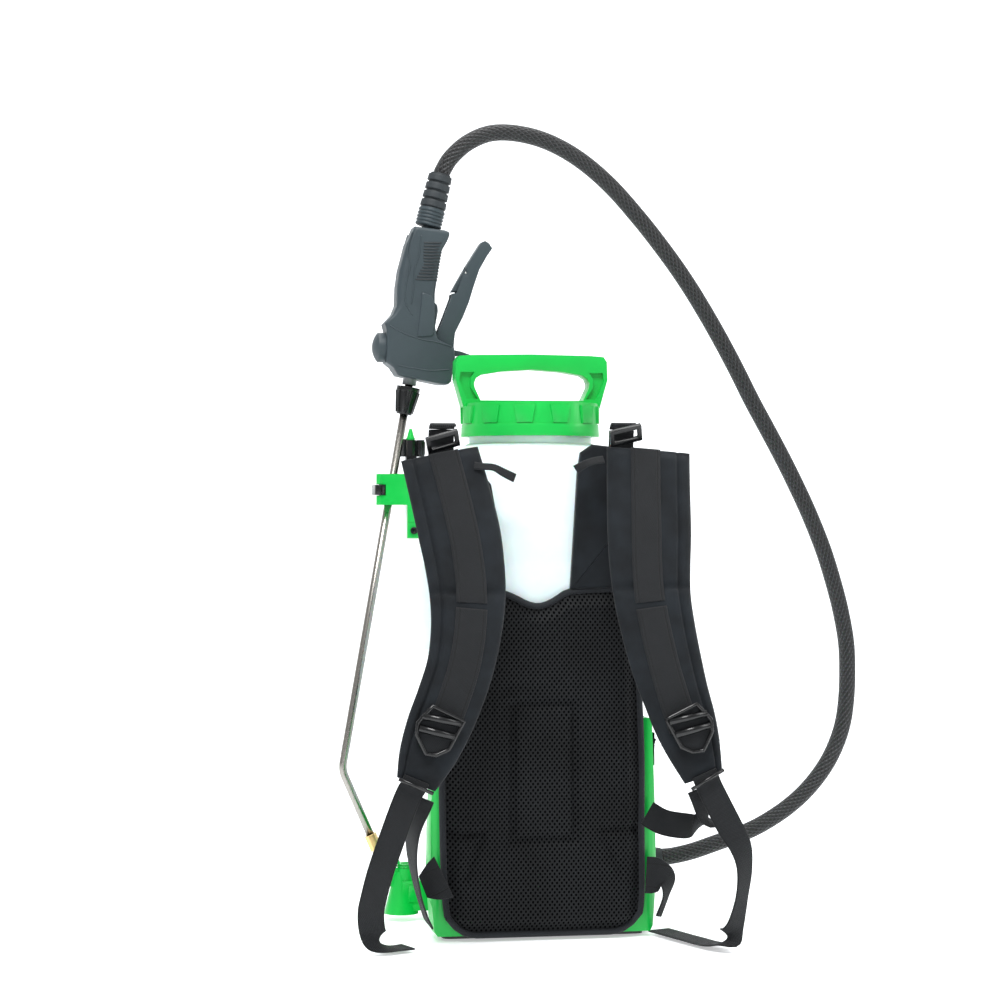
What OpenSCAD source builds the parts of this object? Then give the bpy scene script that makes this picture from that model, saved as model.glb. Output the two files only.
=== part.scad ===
// Backpack battery pump sprayer.
// Millimetres, +Z up, -Y towards the wearer's back (the harness side), +Y the front.
// The origin is on the floor, under the axis of the filler cap.

/* [Tank] */
// Width of the tank across its side bulges
tank_w = 238; // [232:1:242]
// Distance from the cap axis to the tank's front face
tank_front = 118; // [110:1:126]
// Wall thickness of the blow-moulded tank
tank_wall = 3; // [2:0.5:4]
// Outside diameter of the filler neck
neck_d = 122; // [118:1:124]

/* [Filler cap] */
// Diameter of the cap's skirt
cap_d = 137; // [135:1:139]
// Height of the top of the carry handle above the floor
carry_top = 569; // [566:1:572]

/* [Base] */
// Width of the base housing at its widest
base_w = 226; // [222:1:230]
// Height of the base housing on the harness side
housing_top = 211; // [205:1:215]
// Height of the deck that carries the tank
deck_top = 72; // [70:1:74]
// Wall thickness of the base housing
base_wall = 3; // [2.5:0.5:3.5]

/* [Spray wand] */
// Distance in front of the cap axis of the plane that the wand lies in
wand_y = 64; // [63:0.5:66]
// Outside diameter of the lance tube
lance_d = 8.2; // [8:0.1:8.4]
// Inside diameter of the lance tube
lance_bore = 5.4; // [5:0.1:6]
// Lean of the lance from the vertical, in degrees
lance_lean = 9.94; // [9.9:0.01:10]
// Kick of the lance's nozzle end from the vertical, in degrees
nozzle_kick = 23.5; // [23:0.1:24]
// Thickness of the trigger handle
grip_t = 34; // [32:1:36]

/* [Hose] */
// Outside diameter of the braided hose
hose_d = 17; // [16:0.5:17.5]

/* [Harness] */
// Thickness of the back pad
pad_t = 13; // [11:1:14]
// Thickness of the shoulder pads
strap_t = 11; // [9:1:12]
// Width of the webbing
web_w = 25; // [24:1:26]
// Thickness of the webbing
web_t = 1.8; // [1.5:0.1:2]

/* [Hidden] */
$fn = 48;
eps = 0.01;
green = [0.0, 0.72, 0.25];
dark = [0.12, 0.14, 0.15];
fit = 0.05; // running clearance on the radius

// Tank levels and outline
niche_x = -85;            // left side of the narrow lower part
low_right = 108;
tank_back = -77;
low_back = -40;
upper_hw = 101;
upper_back = -70;
upper_front = 112;
niche_top = 262;
bulge_low = 279;
bulge_high = 358;
waist_z = 371;
shoulder_z = 455;
neck_z = 480;
neck_top = 512;
neck_r = neck_d / 2;

// Filler cap
skirt_low = 487;
skirt_high = 520;
cap_r = cap_d / 2;
hole_low = 523;           // lower edge of the hand hole
bar_half = 76.9;
bar_t = 22;

// Base
base_low = 3;
housing_back = -78;
housing_front = -41;
deck_left = -89;
deck_right = 112;
deck_front = 121;
rim_top = 86;
corner_r = 12;

// Points of the wand's plane, as [x, z]
lance_bend = [-181.5, 151];
bend_r = 25;
lever_pivot = [-76, 574];
lock_pivot = [-56, 655];
valve_z = 582;
outlet_y = 50;
outlet_z = 57;
relief_foot = [-93.8, 701.5];
relief_lean = 13.9;

// ---------------------------------------------------------------- helpers

// A rounded rectangle from its limits
module rrect(x0, y0, x1, y1, r) {
    translate([x0 + r, y0]) square([x1 - x0 - 2 * r, y1 - y0]);
    translate([x0, y0 + r]) square([x1 - x0, y1 - y0 - 2 * r]);
    for (x = [x0 + r, x1 - r], y = [y0 + r, y1 - r])
        translate([x, y]) circle(r);
}

// A box with rounded vertical edges
module rbox(x0, y0, z0, x1, y1, z1, r) {
    translate([0, 0, z0])
        linear_extrude(z1 - z0)
            rrect(x0, y0, x1, y1, r);
}

module box(a, b) {
    translate(a) cube(b - a);
}

// Stands a shape drawn in x and z in the plane y, with thickness t about it
module in_plane(y, t) {
    translate([0, y + t / 2, 0])
        rotate([90, 0, 0])
            linear_extrude(t)
                children();
}

// A cylinder along Y, from y0 to y1, at [x, z]
module y_rod(p, y0, y1, r) {
    translate([p[0], y1, p[1]]) rotate([90, 0, 0]) cylinder(h = y1 - y0, r = r);
}

// A cylinder along X, from x0 to x1, at y and z
module x_rod(x0, x1, y, z, r, r2 = -1) {
    translate([x0, y, z])
        rotate([0, 90, 0])
            cylinder(h = x1 - x0, r1 = r, r2 = r2 < 0 ? r : r2);
}

function unit(v) = v / norm(v);

// Catmull-Rom curve through points, with k steps in each stretch
function spline_at(p, i, t) =
    let (a = p[max(i - 1, 0)], b = p[i], c = p[i + 1], d = p[min(i + 2, len(p) - 1)])
    0.5 * (2 * b + (c - a) * t + (2 * a - 5 * b + 4 * c - d) * t * t
        + (3 * b - a - 3 * c + d) * t * t * t);
function spline(p, k) = concat(
    [for (i = [0:len(p) - 2], j = [0:k - 1]) spline_at(p, i, j / k)],
    [p[len(p) - 1]]);
function tangent(p, i) =
    unit(p[min(i + 1, len(p) - 1)] - p[max(i - 1, 0)]);

// Triangles of a tube of rings, each with m corners, closed at both ends
function tube_faces(rings, m) = concat(
    [[for (j = [0:m - 1]) m - 1 - j]],
    [for (i = [0:rings - 2], j = [0:m - 1])
        [i * m + j, (i + 1) * m + (j + 1) % m, (i + 1) * m + j]],
    [for (i = [0:rings - 2], j = [0:m - 1])
        [i * m + j, i * m + (j + 1) % m, (i + 1) * m + (j + 1) % m]],
    [[for (j = [0:m - 1]) (rings - 1) * m + j]]);

// A round tube along points that never run along the direction across
module hose_sweep(p, r, sides, across = [0, 1, 0]) {
    rings = [for (i = [0:len(p) - 1])
        let (t = tangent(p, i), u = unit(cross(t, across)), w = cross(u, t))
        for (j = [0:sides - 1])
            p[i] + r * (cos(360 * j / sides) * u + sin(360 * j / sides) * w)];
    polyhedron(rings, tube_faces(len(p), sides));
}

// A flat strap. Each row is [x, y, z, width, nx, ny, nz]: a centre point,
// the width there and the direction that the strap's outer face looks in.
module ribbon(rows, thick, k = 3) {
    q = spline(rows, k);
    p = [for (r = q) [r[0], r[1], r[2]]];
    corners = [for (i = [0:len(p) - 1])
        let (t = tangent(p, i),
            s = unit(cross(t, [q[i][4], q[i][5], q[i][6]])),
            n = cross(s, t),
            w = s * q[i][3] / 2,
            h = n * thick / 2)
        for (c = [p[i] - w - h, p[i] + w - h, p[i] + w + h, p[i] - w + h]) c];
    polyhedron(corners, tube_faces(len(p), 4));
}

// ---------------------------------------------------------------- tank

// Corners of a rounded outline, in steps of 15 degrees
function rounded(x0, y0, x1, y1, r) =
    [for (c = [[x1 - r, y1 - r, 0], [x0 + r, y1 - r, 90], [x0 + r, y0 + r, 180], [x1 - r, y0 + r, 270]],
        i = [0:6])
        [c[0] + r * cos(c[2] + 15 * i), c[1] + r * sin(c[2] + 15 * i)]];

// A prism of the tank's outline from z0 to z1, drawn in by inset
module tank_prism(z0, z1, x0, y0, x1, y1, r, inset) {
    translate([0, 0, z0])
        linear_extrude(z1 - z0)
            polygon(rounded(x0 + inset, y0 + inset, x1 - inset, y1 - inset, r - inset));
}

module tank_slab(z, x0, y0, x1, y1, r, inset) {
    tank_prism(z, z + eps, x0, y0, x1, y1, r, inset);
}

module tank_form(inset) {
    bulge = tank_w / 2;
    low = [niche_x, low_back, low_right, tank_front - 2];
    tank_prism(deck_top + inset, niche_top + eps, low[0], low[1], low[2], low[3], 16, inset);
    hull() {
        tank_slab(niche_top, low[0], low[1], low[2], low[3], 16, inset);
        tank_slab(bulge_low, -bulge, tank_back, bulge, tank_front, 38, inset);
    }
    tank_prism(bulge_low, bulge_high + eps, -bulge, tank_back, bulge, tank_front, 38, inset);
    hull() {
        tank_slab(bulge_high, -bulge, tank_back, bulge, tank_front, 38, inset);
        tank_slab(waist_z, -upper_hw, upper_back, upper_hw, upper_front, 30, inset);
    }
    tank_prism(waist_z, shoulder_z, -upper_hw, upper_back, upper_hw, upper_front, 30, inset);
}

// The shoulder's slope from the tank's sides to the neck
module tank_shoulder(inset) {
    hull() {
        tank_slab(shoulder_z - eps, -upper_hw, upper_back, upper_hw, upper_front, 30, inset);
        translate([0, 0, neck_z - inset])
            linear_extrude(eps)
                polygon([for (a = [0:10:350]) (neck_r + 1.5 - inset) * [cos(a), sin(a)]]);
    }
}

// Rib on the tank's left side that the lance bracket is screwed to
lug = [[-117, 55.2, 384], [-upper_hw + 2, 76, 445]];
bracket_holes = [[-110, 393], [-106, 434]];

module tank() {
    color([0.88, 0.94, 0.9, 0.8])
        difference() {
            union() {
                tank_form(0);
                tank_shoulder(0);
                translate([0, 0, neck_z - 1]) cylinder(h = neck_top - neck_z + 1, r = neck_r);
                box(lug[0], lug[1]);
            }
            tank_form(tank_wall);
            tank_shoulder(tank_wall);
            translate([0, 0, neck_z - 5]) cylinder(h = neck_top, r = neck_r - tank_wall);
            for (p = bracket_holes)
                y_rod(p, lug[0][1] - 1, lug[0][1] + 14, 2);
            translate([30, 60, deck_top - 1]) cylinder(h = tank_wall + 2, r = 8);
        }
}

// ---------------------------------------------------------------- cap

module cap_skirt_panels() {
    panel_w = 21;
    for (a = [0:30:330])
        rotate([0, 0, a + 15])
            translate([cap_r - 2.2, 0, 0])
                rotate([90, 0, 90])
                    linear_extrude(2.8)
                        polygon([[-panel_w / 2, skirt_high - 3], [panel_w / 2, skirt_high - 3],
                            [panel_w / 2 - 3, skirt_low + 13], [3 - panel_w / 2, skirt_low + 13]]);
}

carry_outline = [[-69, skirt_high - 4], [-bar_half, 544], [-bar_half + 0.6, 562],
    [-73, 567], [-60, carry_top - 1], [0, carry_top], [60, carry_top - 1],
    [73, 567], [bar_half - 0.6, 562], [bar_half, 544], [69, skirt_high - 4]];
hand_hole = [[-52, hole_low], [-58, 536], [-58.5, 540], [-56.5, 545], [-51, 548.5],
    [-30, 552], [0, 554], [30, 552], [51, 548.5], [56.5, 545], [58.5, 540], [58, 536],
    [52, hole_low]];
leg_recess = [[-73.4, 543], [-72, 551], [-58, 551], [-62, 545], [-62, 536], [-54.5, 524.5],
    [-65.5, 524.5]];

module filler_cap() {
    inner = neck_r + 0.6;
    color(green)
        difference() {
            union() {
                translate([0, 0, skirt_low]) cylinder(h = 12, r1 = cap_r + 0.6, r2 = cap_r);
                translate([0, 0, skirt_low + 12]) cylinder(h = skirt_high - skirt_low - 12, r = cap_r - 1);
                cap_skirt_panels();
                in_plane(0, bar_t) polygon(carry_outline);
            }
            in_plane(0, bar_t + 2) polygon(hand_hole);
            for (s = [0, 1], y = [-bar_t, bar_t])
                mirror([s, 0, 0])
                    in_plane(y * 0.5 + sign(y) * 2, 12) polygon(leg_recess);
            translate([0, 0, skirt_low - 1]) cylinder(h = 29.5, r = inner);
            translate([0, 0, skirt_low - 1]) cylinder(h = 4, r = inner + 1);
            translate([22, 0, skirt_low]) cylinder(h = 40, r = 5 + fit);
            translate([22, 0, skirt_high]) cylinder(h = 10, r = 7 + fit);
        }
}

module cap_seal() {
    color(dark)
        translate([0, 0, neck_top + 0.3])
            difference() {
                cylinder(h = 3, r = neck_r + 0.3);
                translate([0, 0, -1]) cylinder(h = 5, r = neck_r - 5);
            }
}

module breather_valve() {
    color(dark)
        translate([22, 0, 0]) {
            translate([0, 0, 512]) cylinder(h = skirt_high - 512, r = 5);
            translate([0, 0, skirt_high]) cylinder(h = 1.6, r = 7);
        }
}

module strainer_basket() {
    rim_z = neck_top - 3;
    depth = 70;
    color(dark)
        difference() {
            union() {
                translate([0, 0, neck_top]) cylinder(h = 0.3, r = neck_r - 0.5);
                translate([0, 0, rim_z]) cylinder(h = neck_top - rim_z, r = neck_r - tank_wall - 0.1);
                translate([0, 0, rim_z - depth]) cylinder(h = depth + 1, r = 50);
            }
            translate([0, 0, rim_z - depth + 2]) cylinder(h = depth + 10, r = 48);
            // slots in the floor
            for (x = [-36:6:36])
                translate([x - 1, -0.75 * sqrt(48 * 48 - x * x), rim_z - depth - 1])
                    cube([2, 1.5 * sqrt(48 * 48 - x * x), 4]);
        }
}

// ---------------------------------------------------------------- base

flare = [[-105, base_low], [-108, 8], [-111, 40], [-base_w / 2, 62], [-111, 120],
    [-107, housing_top - 3], [-104, housing_top], [104, housing_top], [107, housing_top - 3],
    [111, 120], [base_w / 2, 62], [111, 40], [108, 8], [105, base_low]];

module flared(y0, y1, inset) {
    in_plane((y0 + y1) / 2, y1 - y0)
        offset(delta = -inset) polygon(flare);
}

// The tall housing on the harness side
module back_housing(inset) {
    intersection() {
        flared(housing_back + inset, housing_front - inset, inset);
        rbox(-base_w / 2 + inset, housing_back + inset, 0,
            base_w / 2 - inset, housing_front - inset, housing_top + 1, corner_r - inset);
    }
}

door_x = [-76, -16];
door_z = [15.5, 60];
door_hinge = [118.9, 18];   // y and z of the battery door's hinge
switch_z = 180;
switch_y = -60;
flap_hinge = [deck_front + 0.6, 54];   // y and z of the charging flap's hinge

cover_screw_at = [[-92, -60], [92, -60], [-79, 104], [97, 104], [-79, 20], [97, 20]];

// Posts inside the housing that the bottom cover is screwed to
module screw_posts() {
    post_low = base_low + 2.3;
    difference() {
        for (p = cover_screw_at) {
            behind = p[1] < housing_front;
            translate([p[0], p[1], post_low])
                cylinder(h = (behind ? 20 : deck_top - base_wall + 0.5) - post_low, r = 4.5);
            if (behind)
                box([min(p[0], sign(p[0]) * 105.5), p[1] - 1.5, post_low],
                    [max(p[0], sign(p[0]) * 105.5), p[1] + 1.5, 20]);
        }
        for (p = cover_screw_at)
            translate([p[0], p[1], 0]) cylinder(h = 12, r = 1.9 + fit);
    }
}

module base_housing() {
    color(green) {
        screw_posts();
        difference() {
            union() {
                back_housing(0);
                rbox(deck_left, housing_front - 20, base_low, deck_right, deck_front, rim_top, 14);
                // ears of the charging flap's hinge
                for (x = [47, 70.4])
                    box([x, deck_front - 1, flap_hinge[1] - 2.5], [x + 2.6, deck_front + 3.6, flap_hinge[1] + 2.5]);
            }
            // room for the tank above the deck
            rbox(niche_x - 0.5, housing_front, deck_top, low_right + 0.5, tank_front - 1.5, rim_top + 1, 16.5);
            // hollow inside
            difference() {
                back_housing(base_wall);
                box([-base_w, housing_back, housing_top - 0.5], [base_w, 0, housing_top + 1]);
            }
            rbox(-100, housing_back + base_wall, base_low - 1, 100, housing_front - base_wall, base_low + 20, 8);
            rbox(deck_left + base_wall, housing_front - 20, base_low - 1,
                deck_right - base_wall, deck_front - base_wall, deck_top - base_wall, 11);
            // openings: tank outlet, hose outlet, battery door, switch, charging socket
            translate([30, 60, deck_top - 5]) cylinder(h = 10, r = 6 + fit);
            x_rod(deck_right - 6, deck_right + 2, outlet_y, outlet_z, 8 + fit);
            box([door_x[0], deck_front - 8, door_z[0]], [door_x[1], deck_front + 1, door_z[1]]);
            box([95, switch_y - 9, switch_z - 14], [115, switch_y + 9, switch_z + 14]);
            translate([60, deck_front - 6, 40]) rotate([-90, 0, 0]) cylinder(h = 10, r = 6 + fit);
            x_rod(46, 75, flap_hinge[0] + 0.7, flap_hinge[1], 1.1 + fit);
        }
    }
}

module bottom_cover() {
    color(dark)
        difference() {
            union() {
                rbox(-99.5, housing_back + base_wall + 0.5, 0,
                    99.5, housing_front - base_wall - 0.5, base_low + 2, 8);
                rbox(deck_left + base_wall + 0.5, housing_front - 19.5, 0,
                    deck_right - base_wall - 0.5, deck_front - base_wall - 0.5, base_low + 2, 10);
            }
            for (p = cover_screw_at)
                translate([p[0], p[1], -1]) {
                    cylinder(h = 9, r = 2);
                    cylinder(h = 3.5, r = 4);
                }
            for (x = [-62, 62], y = [-52, 92])
                translate([x, y, -1]) cylinder(h = 3, r = 9);
        }
}

module rubber_feet() {
    color([0.08, 0.08, 0.08])
        for (x = [-62, 62], y = [-52, 92])
            translate([x, y, 0]) cylinder(h = 2, r = 9);
}

module cover_screws() {
    color("silver")
        for (p = cover_screw_at)
            translate([p[0], p[1], 0.4]) {
                difference() {
                    cylinder(h = 2.1, r = 3.8);
                    translate([0, 0, -1]) cylinder(h = 2, r = 1.6, $fn = 6);
                }
                translate([0, 0, 2]) cylinder(h = 6, r = 1.9);
            }
}

module battery_pack() {
    color([0.15, 0.3, 0.6])
        rbox(-73, 38, base_low + 2.5, -14, 112, deck_top - base_wall - 6, 6);
}

module battery_door() {
    hinge_r = 1.6;
    color([0.0, 0.5, 0.18])
        union() {
            box([door_x[0] + 0.4, door_hinge[0] - hinge_r, door_hinge[1]],
                [door_x[1] - 0.4, door_hinge[0] + hinge_r, door_z[1] - 0.4]);
            x_rod(door_x[0] + 0.4, door_x[1] - 0.4, door_hinge[0], door_hinge[1], hinge_r);
            // finger lip
            box([-54, door_hinge[0], door_z[1] - 8], [-38, door_hinge[0] + 4, door_z[1] - 5]);
        }
}

module control_board() {
    color([0.05, 0.35, 0.15])
        union() {
            box([30, -52, 90], [95, -50.4, 190]);
            box([40, -62, 100], [58, -52, 130]);
            box([66, -60, 150], [84, -52, 170]);
        }
}

motor_y = -6;
motor_z = 32;

module pump_motor() {
    color("silver")
        difference() {
            union() {
                x_rod(-46, 16, motor_y, motor_z, 15);
                x_rod(16, 20, motor_y, motor_z, 7);
            }
            x_rod(-40, 21, motor_y, motor_z, 1.6 + fit);
        }
}

module pump_head() {
    color([0.2, 0.2, 0.22])
        difference() {
            union() {
                rbox(20.2, motor_y - 20, 8, 62, motor_y + 20, 58, 4);
                translate([36, motor_y + 26, 48]) rotate([90, 0, 0]) cylinder(h = 10, r = 4);
                translate([52, motor_y + 26, 48]) rotate([90, 0, 0]) cylinder(h = 10, r = 4);
            }
            x_rod(19, 46, motor_y, motor_z, 9);
        }
}

module drive_cam() {
    color("gray")
        union() {
            x_rod(-38, 40, motor_y, motor_z, 1.6);
            x_rod(26, 38, motor_y + 2, motor_z, 6);
        }
}

module tank_outlet() {
    color(dark)
        translate([30, 60, 0])
            difference() {
                union() {
                    translate([0, 0, 58]) cylinder(h = 20, r = 6);
                    translate([0, 0, deck_top + tank_wall]) cylinder(h = 2.5, r = 11);
                }
                translate([0, 0, 50]) cylinder(h = 40, r = 4);
            }
}

// Soft tubes inside the base
suction_route = spline([[30, 60, 57.6], [30, 60, 54], [30, 60, 50], [31, 55, 44], [34, 42, 43],
    [36, 29, 47], [36, 24, 48], [36, 22, 48], [36, 20.3, 48]], 3);
delivery_route = spline([[52, 20.3, 48], [52, 24, 48], [52, 31, 48], [55, 42, 49], [63, 49, 53],
    [76, 50, 57], [82, 50, 57], [87.7, 50, 57]], 3);

module suction_tube() {
    color([0.8, 0.85, 0.9])
        difference() {
            hose_sweep(suction_route, 5, 16, [1, 0, 0]);
            hose_sweep(concat([[30, 60, 59]], suction_route, [[36, 19, 48]]), 3, 12, [1, 0, 0]);
        }
}

module delivery_tube() {
    color([0.8, 0.85, 0.9])
        difference() {
            hose_sweep(delivery_route, 5, 16, [0, 0, 1]);
            hose_sweep(concat([[52, 19, 48]], delivery_route, [[89, 50, 57]]), 3, 12, [0, 0, 1]);
        }
}

module outlet_fitting() {
    color(dark)
        difference() {
            union() {
                x_rod(88, deck_right + 12, outlet_y, outlet_z, 8);
                x_rod(deck_right, deck_right + 3, outlet_y, outlet_z, 12);
                x_rod(102, deck_right - base_wall, outlet_y, outlet_z, 11);
            }
            x_rod(87, 140, outlet_y, outlet_z, 3);
        }
}

relief_end = 146;

module outlet_relief() {
    color(dark)
        difference() {
            union() {
                x_rod(deck_right + 3, deck_right + 15, outlet_y, outlet_z, 12);
                x_rod(deck_right + 15, relief_end, outlet_y, outlet_z, 11.5, hose_d / 2 + 0.8);
            }
            x_rod(deck_right + 2, deck_right + 12, outlet_y, outlet_z, 8 + fit);
            x_rod(deck_right + 11, relief_end + 1, outlet_y, outlet_z, 3);
        }
}

module switch_bezel() {
    color([0.05, 0.05, 0.05])
        difference() {
            union() {
                box([100, switch_y - 8.9, switch_z - 13.9], [109.6, switch_y + 8.9, switch_z + 13.9]);
                box([109.6, switch_y - 11, switch_z - 16], [111, switch_y + 11, switch_z + 16]);
            }
            box([103, switch_y - 6.5, switch_z - 11], [112, switch_y + 6.5, switch_z + 11]);
            y_rod([106.5, switch_z], switch_y - 7.5, switch_y + 7.5, 1 + fit);
        }
}

module power_rocker() {
    color([0.05, 0.05, 0.05])
        union() {
            in_plane(switch_y, 12.6)
                polygon([[106, switch_z - 9.5], [109.8, switch_z - 10.2], [112, switch_z - 9.6],
                    [111.2, switch_z], [113.6, switch_z + 9.4], [110.5, switch_z + 10.2],
                    [106, switch_z + 9.5], [105.2, switch_z]]);
            y_rod([106.5, switch_z], switch_y - 7.3, switch_y + 7.3, 1);
        }
}

module charge_socket() {
    color("silver")
        translate([60, 0, 40])
            rotate([-90, 0, 0])
                difference() {
                    translate([0, 0, 104]) cylinder(h = 15.6, r = 6);
                    translate([0, 0, 108]) cylinder(h = 20, r = 1.9);
                }
}

module charge_flap() {
    color([0.05, 0.05, 0.05])
        union() {
            box([50, deck_front + 0.2, 28], [70, deck_front + 2.4, flap_hinge[1]]);
            x_rod(47.4, 72.6, deck_front + 1.3, flap_hinge[1], 1.1);
        }
}

// ---------------------------------------------------------------- wand rests

holster_axis = [-121, wand_y];

module nozzle_holster() {
    color(green)
        difference() {
            union() {
                // flared foot
                translate([holster_axis[0], holster_axis[1], 4.5])
                    cylinder(h = 42, r1 = 17.5, r2 = 7.2);
                // arm to the deck
                box([-121, 52, 8], [deck_left, 76, 38]);
                box([-115, 51, 17], [-103.8, 60, 34]);
                // collar on top
                translate([-115.5, wand_y, 38]) cylinder(h = 17, r = 10);
                // cradle for the nozzle's tip, and the web that carries it
                along_kick(97) cylinder(h = 15, r = 8.6);
                box([-139, wand_y - 3, 32], [-123, wand_y + 3, 58]);
            }
            translate([-115.5, wand_y, 44]) cylinder(h = 20, r = 6.5);
            for (z = [50.5, 53])
                translate([-115.5, wand_y, z])
                    difference() {
                        cylinder(h = 1.2, r = 12);
                        translate([0, 0, -1]) cylinder(h = 4, r = 9);
                    }
            along_kick(90) cylinder(h = 23, r = 6.1);
        }
}

bracket_z = [419, 450.4];
bracket_right = -upper_hw - 0.4;
latch_axis = [-143.7, 54];
latch_z = [429, 439.4];

// The lance's straight run, between two heights
module lance_run(z0, z1, r) {
    lean = tan(lance_lean);
    foot = lance_bend[0] + (z0 - lance_bend[1]) * lean;
    translate([foot, wand_y, z0])
        rotate([0, lance_lean, 0])
            cylinder(h = (z1 - z0) / cos(lance_lean), r = r);
}

module lance_bracket() {
    color(green)
        difference() {
            union() {
                box([latch_axis[0], 50, bracket_z[0]], [bracket_right, 55, bracket_z[1]]);
                box([-116.5, 50, 385.4], [bracket_right, 55, bracket_z[0] + 1]);
                // saddle behind the plate
                box([-144, 54.9, bracket_z[0]], [-127, wand_y, bracket_z[1]]);
                // shelf for the spare nozzles
                box([-118, 54.9, bracket_z[1] - 4], [-102, 70, bracket_z[1]]);
                translate([latch_axis[0], latch_axis[1], bracket_z[0]])
                    cylinder(h = bracket_z[1] - bracket_z[0], r = 4.2);
            }
            translate([latch_axis[0], latch_axis[1], latch_z[0] - 0.4])
                cylinder(h = latch_z[1] - latch_z[0] + 0.8, r = 6.4);
            box([-151, 54, latch_z[0] - 0.4], [-141.9, wand_y + 1, latch_z[1] + 0.4]);
            translate([latch_axis[0], latch_axis[1], bracket_z[0] - 1])
                cylinder(h = 40, r = 1.5 + fit);
            lance_run(bracket_z[0] - 4, bracket_z[1] + 4, lance_d / 2 + 0.1);
            for (p = bracket_holes)
                y_rod(p, 49, 56, 2.1);
            // shallow recess round the lower screw
            box([-118, 49, 384], [-99, 50.8, 402]);
        }
}

module bracket_latch() {
    color([0.1, 0.11, 0.12])
        translate([0, 0, latch_z[0]])
            difference() {
                union() {
                    translate([latch_axis[0], latch_axis[1], 0])
                        cylinder(h = latch_z[1] - latch_z[0], r = 5.8);
                    box([-149.5, latch_axis[1], 0], [-145.4, 77, latch_z[1] - latch_z[0]]);
                    box([-149.5, 73.4, 0], [-131, 77, latch_z[1] - latch_z[0]]);
                }
                translate([latch_axis[0], latch_axis[1], -1]) cylinder(h = 20, r = 1.5 + fit);
            }
}

module latch_pin() {
    color("silver")
        translate([latch_axis[0], latch_axis[1], bracket_z[0] + 0.5])
            cylinder(h = bracket_z[1] - bracket_z[0] - 1, r = 1.5);
}

module bracket_screws() {
    color([0.1, 0.1, 0.1])
        for (i = [0, 1]) {
            p = bracket_holes[i];
            seat = i == 0 ? 50.8 : 50;
            difference() {
                y_rod(p, seat - 2.2, seat, 3.6);
                translate([p[0], seat - 1, p[1]]) rotate([90, 0, 0]) cylinder(h = 3, r = 1.7, $fn = 6);
            }
            y_rod(p, seat - 0.5, seat + 15, 1.9);
        }
}

spare_at = [[-111.5, 5.6], [-101.4, 4.2]];

module spare_nozzle_holder() {
    color(dark)
        difference() {
            union() {
                box([-116.5, 58, bracket_z[1]], [-106, 70, 469]);
                for (s = spare_at)
                    translate([s[0], wand_y, 468]) cylinder(h = 17, r = s[1]);
                box([-108, wand_y - 2, 468], [-100, wand_y + 2, 484]);
                box([-122.4, wand_y - 1.5, 468], [-116, wand_y + 1.5, 486]);
                for (a = [0:30:330])
                    translate([spare_at[1][0], wand_y, 470])
                        rotate([0, 0, a])
                            translate([3.8, -0.6, 0])
                                cube([1, 1.2, 13]);
            }
            translate([spare_at[0][0], wand_y, 474]) cylinder(h = 20, r = 3.6 + fit);
            lance_run(460, 492, lance_d / 2 + 0.1);
        }
}

module spare_nozzle_tips() {
    color(green)
        translate([spare_at[0][0], wand_y, 474]) {
            cylinder(h = 11, r = 3.6);
            translate([0, 0, 11]) cylinder(h = 2.5, r = 4.4);
            translate([0, 0, 13.4]) cylinder(h = 9, r1 = 3.8, r2 = 1.4);
        }
}

// ---------------------------------------------------------------- wand

// Places a shape at a distance s down the nozzle end of the lance
module along_kick(s) {
    translate([lance_bend[0] + s * sin(nozzle_kick), wand_y, lance_bend[1] - s * cos(nozzle_kick)])
        rotate([0, 180 - nozzle_kick, 0])
            children();
}

// The lance's centre line: down from the height top, round the bend, out to the nozzle
function lance_path(top, end) =
    let (turn = lance_lean + nozzle_kick,
        centre = lance_bend + bend_r / cos(turn / 2)
            * [cos((nozzle_kick - lance_lean) / 2), sin((nozzle_kick - lance_lean) / 2)],
        rise = top - lance_bend[1])
    concat(
        [[lance_bend[0] + rise * tan(lance_lean), wand_y, top]],
        [for (i = [0:8])
            let (a = 180 - lance_lean + turn * i / 8)
            [centre[0] + bend_r * cos(a), wand_y, centre[1] + bend_r * sin(a)]],
        [[lance_bend[0] + end * sin(nozzle_kick), wand_y, lance_bend[1] - end * cos(nozzle_kick)]]);

module lance_tube() {
    color("silver")
        difference() {
            hose_sweep(lance_path(552, 78), lance_d / 2, 24);
            hose_sweep(lance_path(553, 79), lance_bore / 2, 16);
        }
}

module nozzle_body() {
    color([0.75, 0.6, 0.3])
        difference() {
            along_kick(72) {
                cylinder(h = 17, r = 6.2, $fn = 6);
                cylinder(h = 26, r = 4.4);
            }
            along_kick(70) cylinder(h = 8, r = lance_d / 2 + fit);
            along_kick(76) cylinder(h = 30, r = 1.5);
        }
}

module nozzle_tip() {
    color([0.75, 0.6, 0.3])
        difference() {
            along_kick(90) {
                cylinder(h = 15, r = 5.4);
                cylinder(h = 18, r1 = 5.4, r2 = 3);
            }
            along_kick(89) cylinder(h = 9.5, r = 4.4 + fit);
            along_kick(97) cylinder(h = 20, r = 0.8);
        }
}

module collar_nut() {
    top_z = 538.5;
    foot = [lance_bend[0] + (511 - lance_bend[1]) * tan(lance_lean), 511];
    color(dark)
        difference() {
            translate([foot[0], wand_y, foot[1]])
                rotate([0, lance_lean, 0])
                    union() {
                        cylinder(h = 24, r1 = 7.7, r2 = 11.5);
                        translate([0, 0, 24]) cylinder(h = 4, r = 12);
                        for (a = [0:36:324])
                            rotate([0, 0, a])
                                translate([7, -1.2, 2])
                                    rotate([0, 9, 0])
                                        cube([2, 2.4, 22]);
                    }
            lance_run(505, top_z + 8, lance_d / 2 + fit);
        }
}

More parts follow.
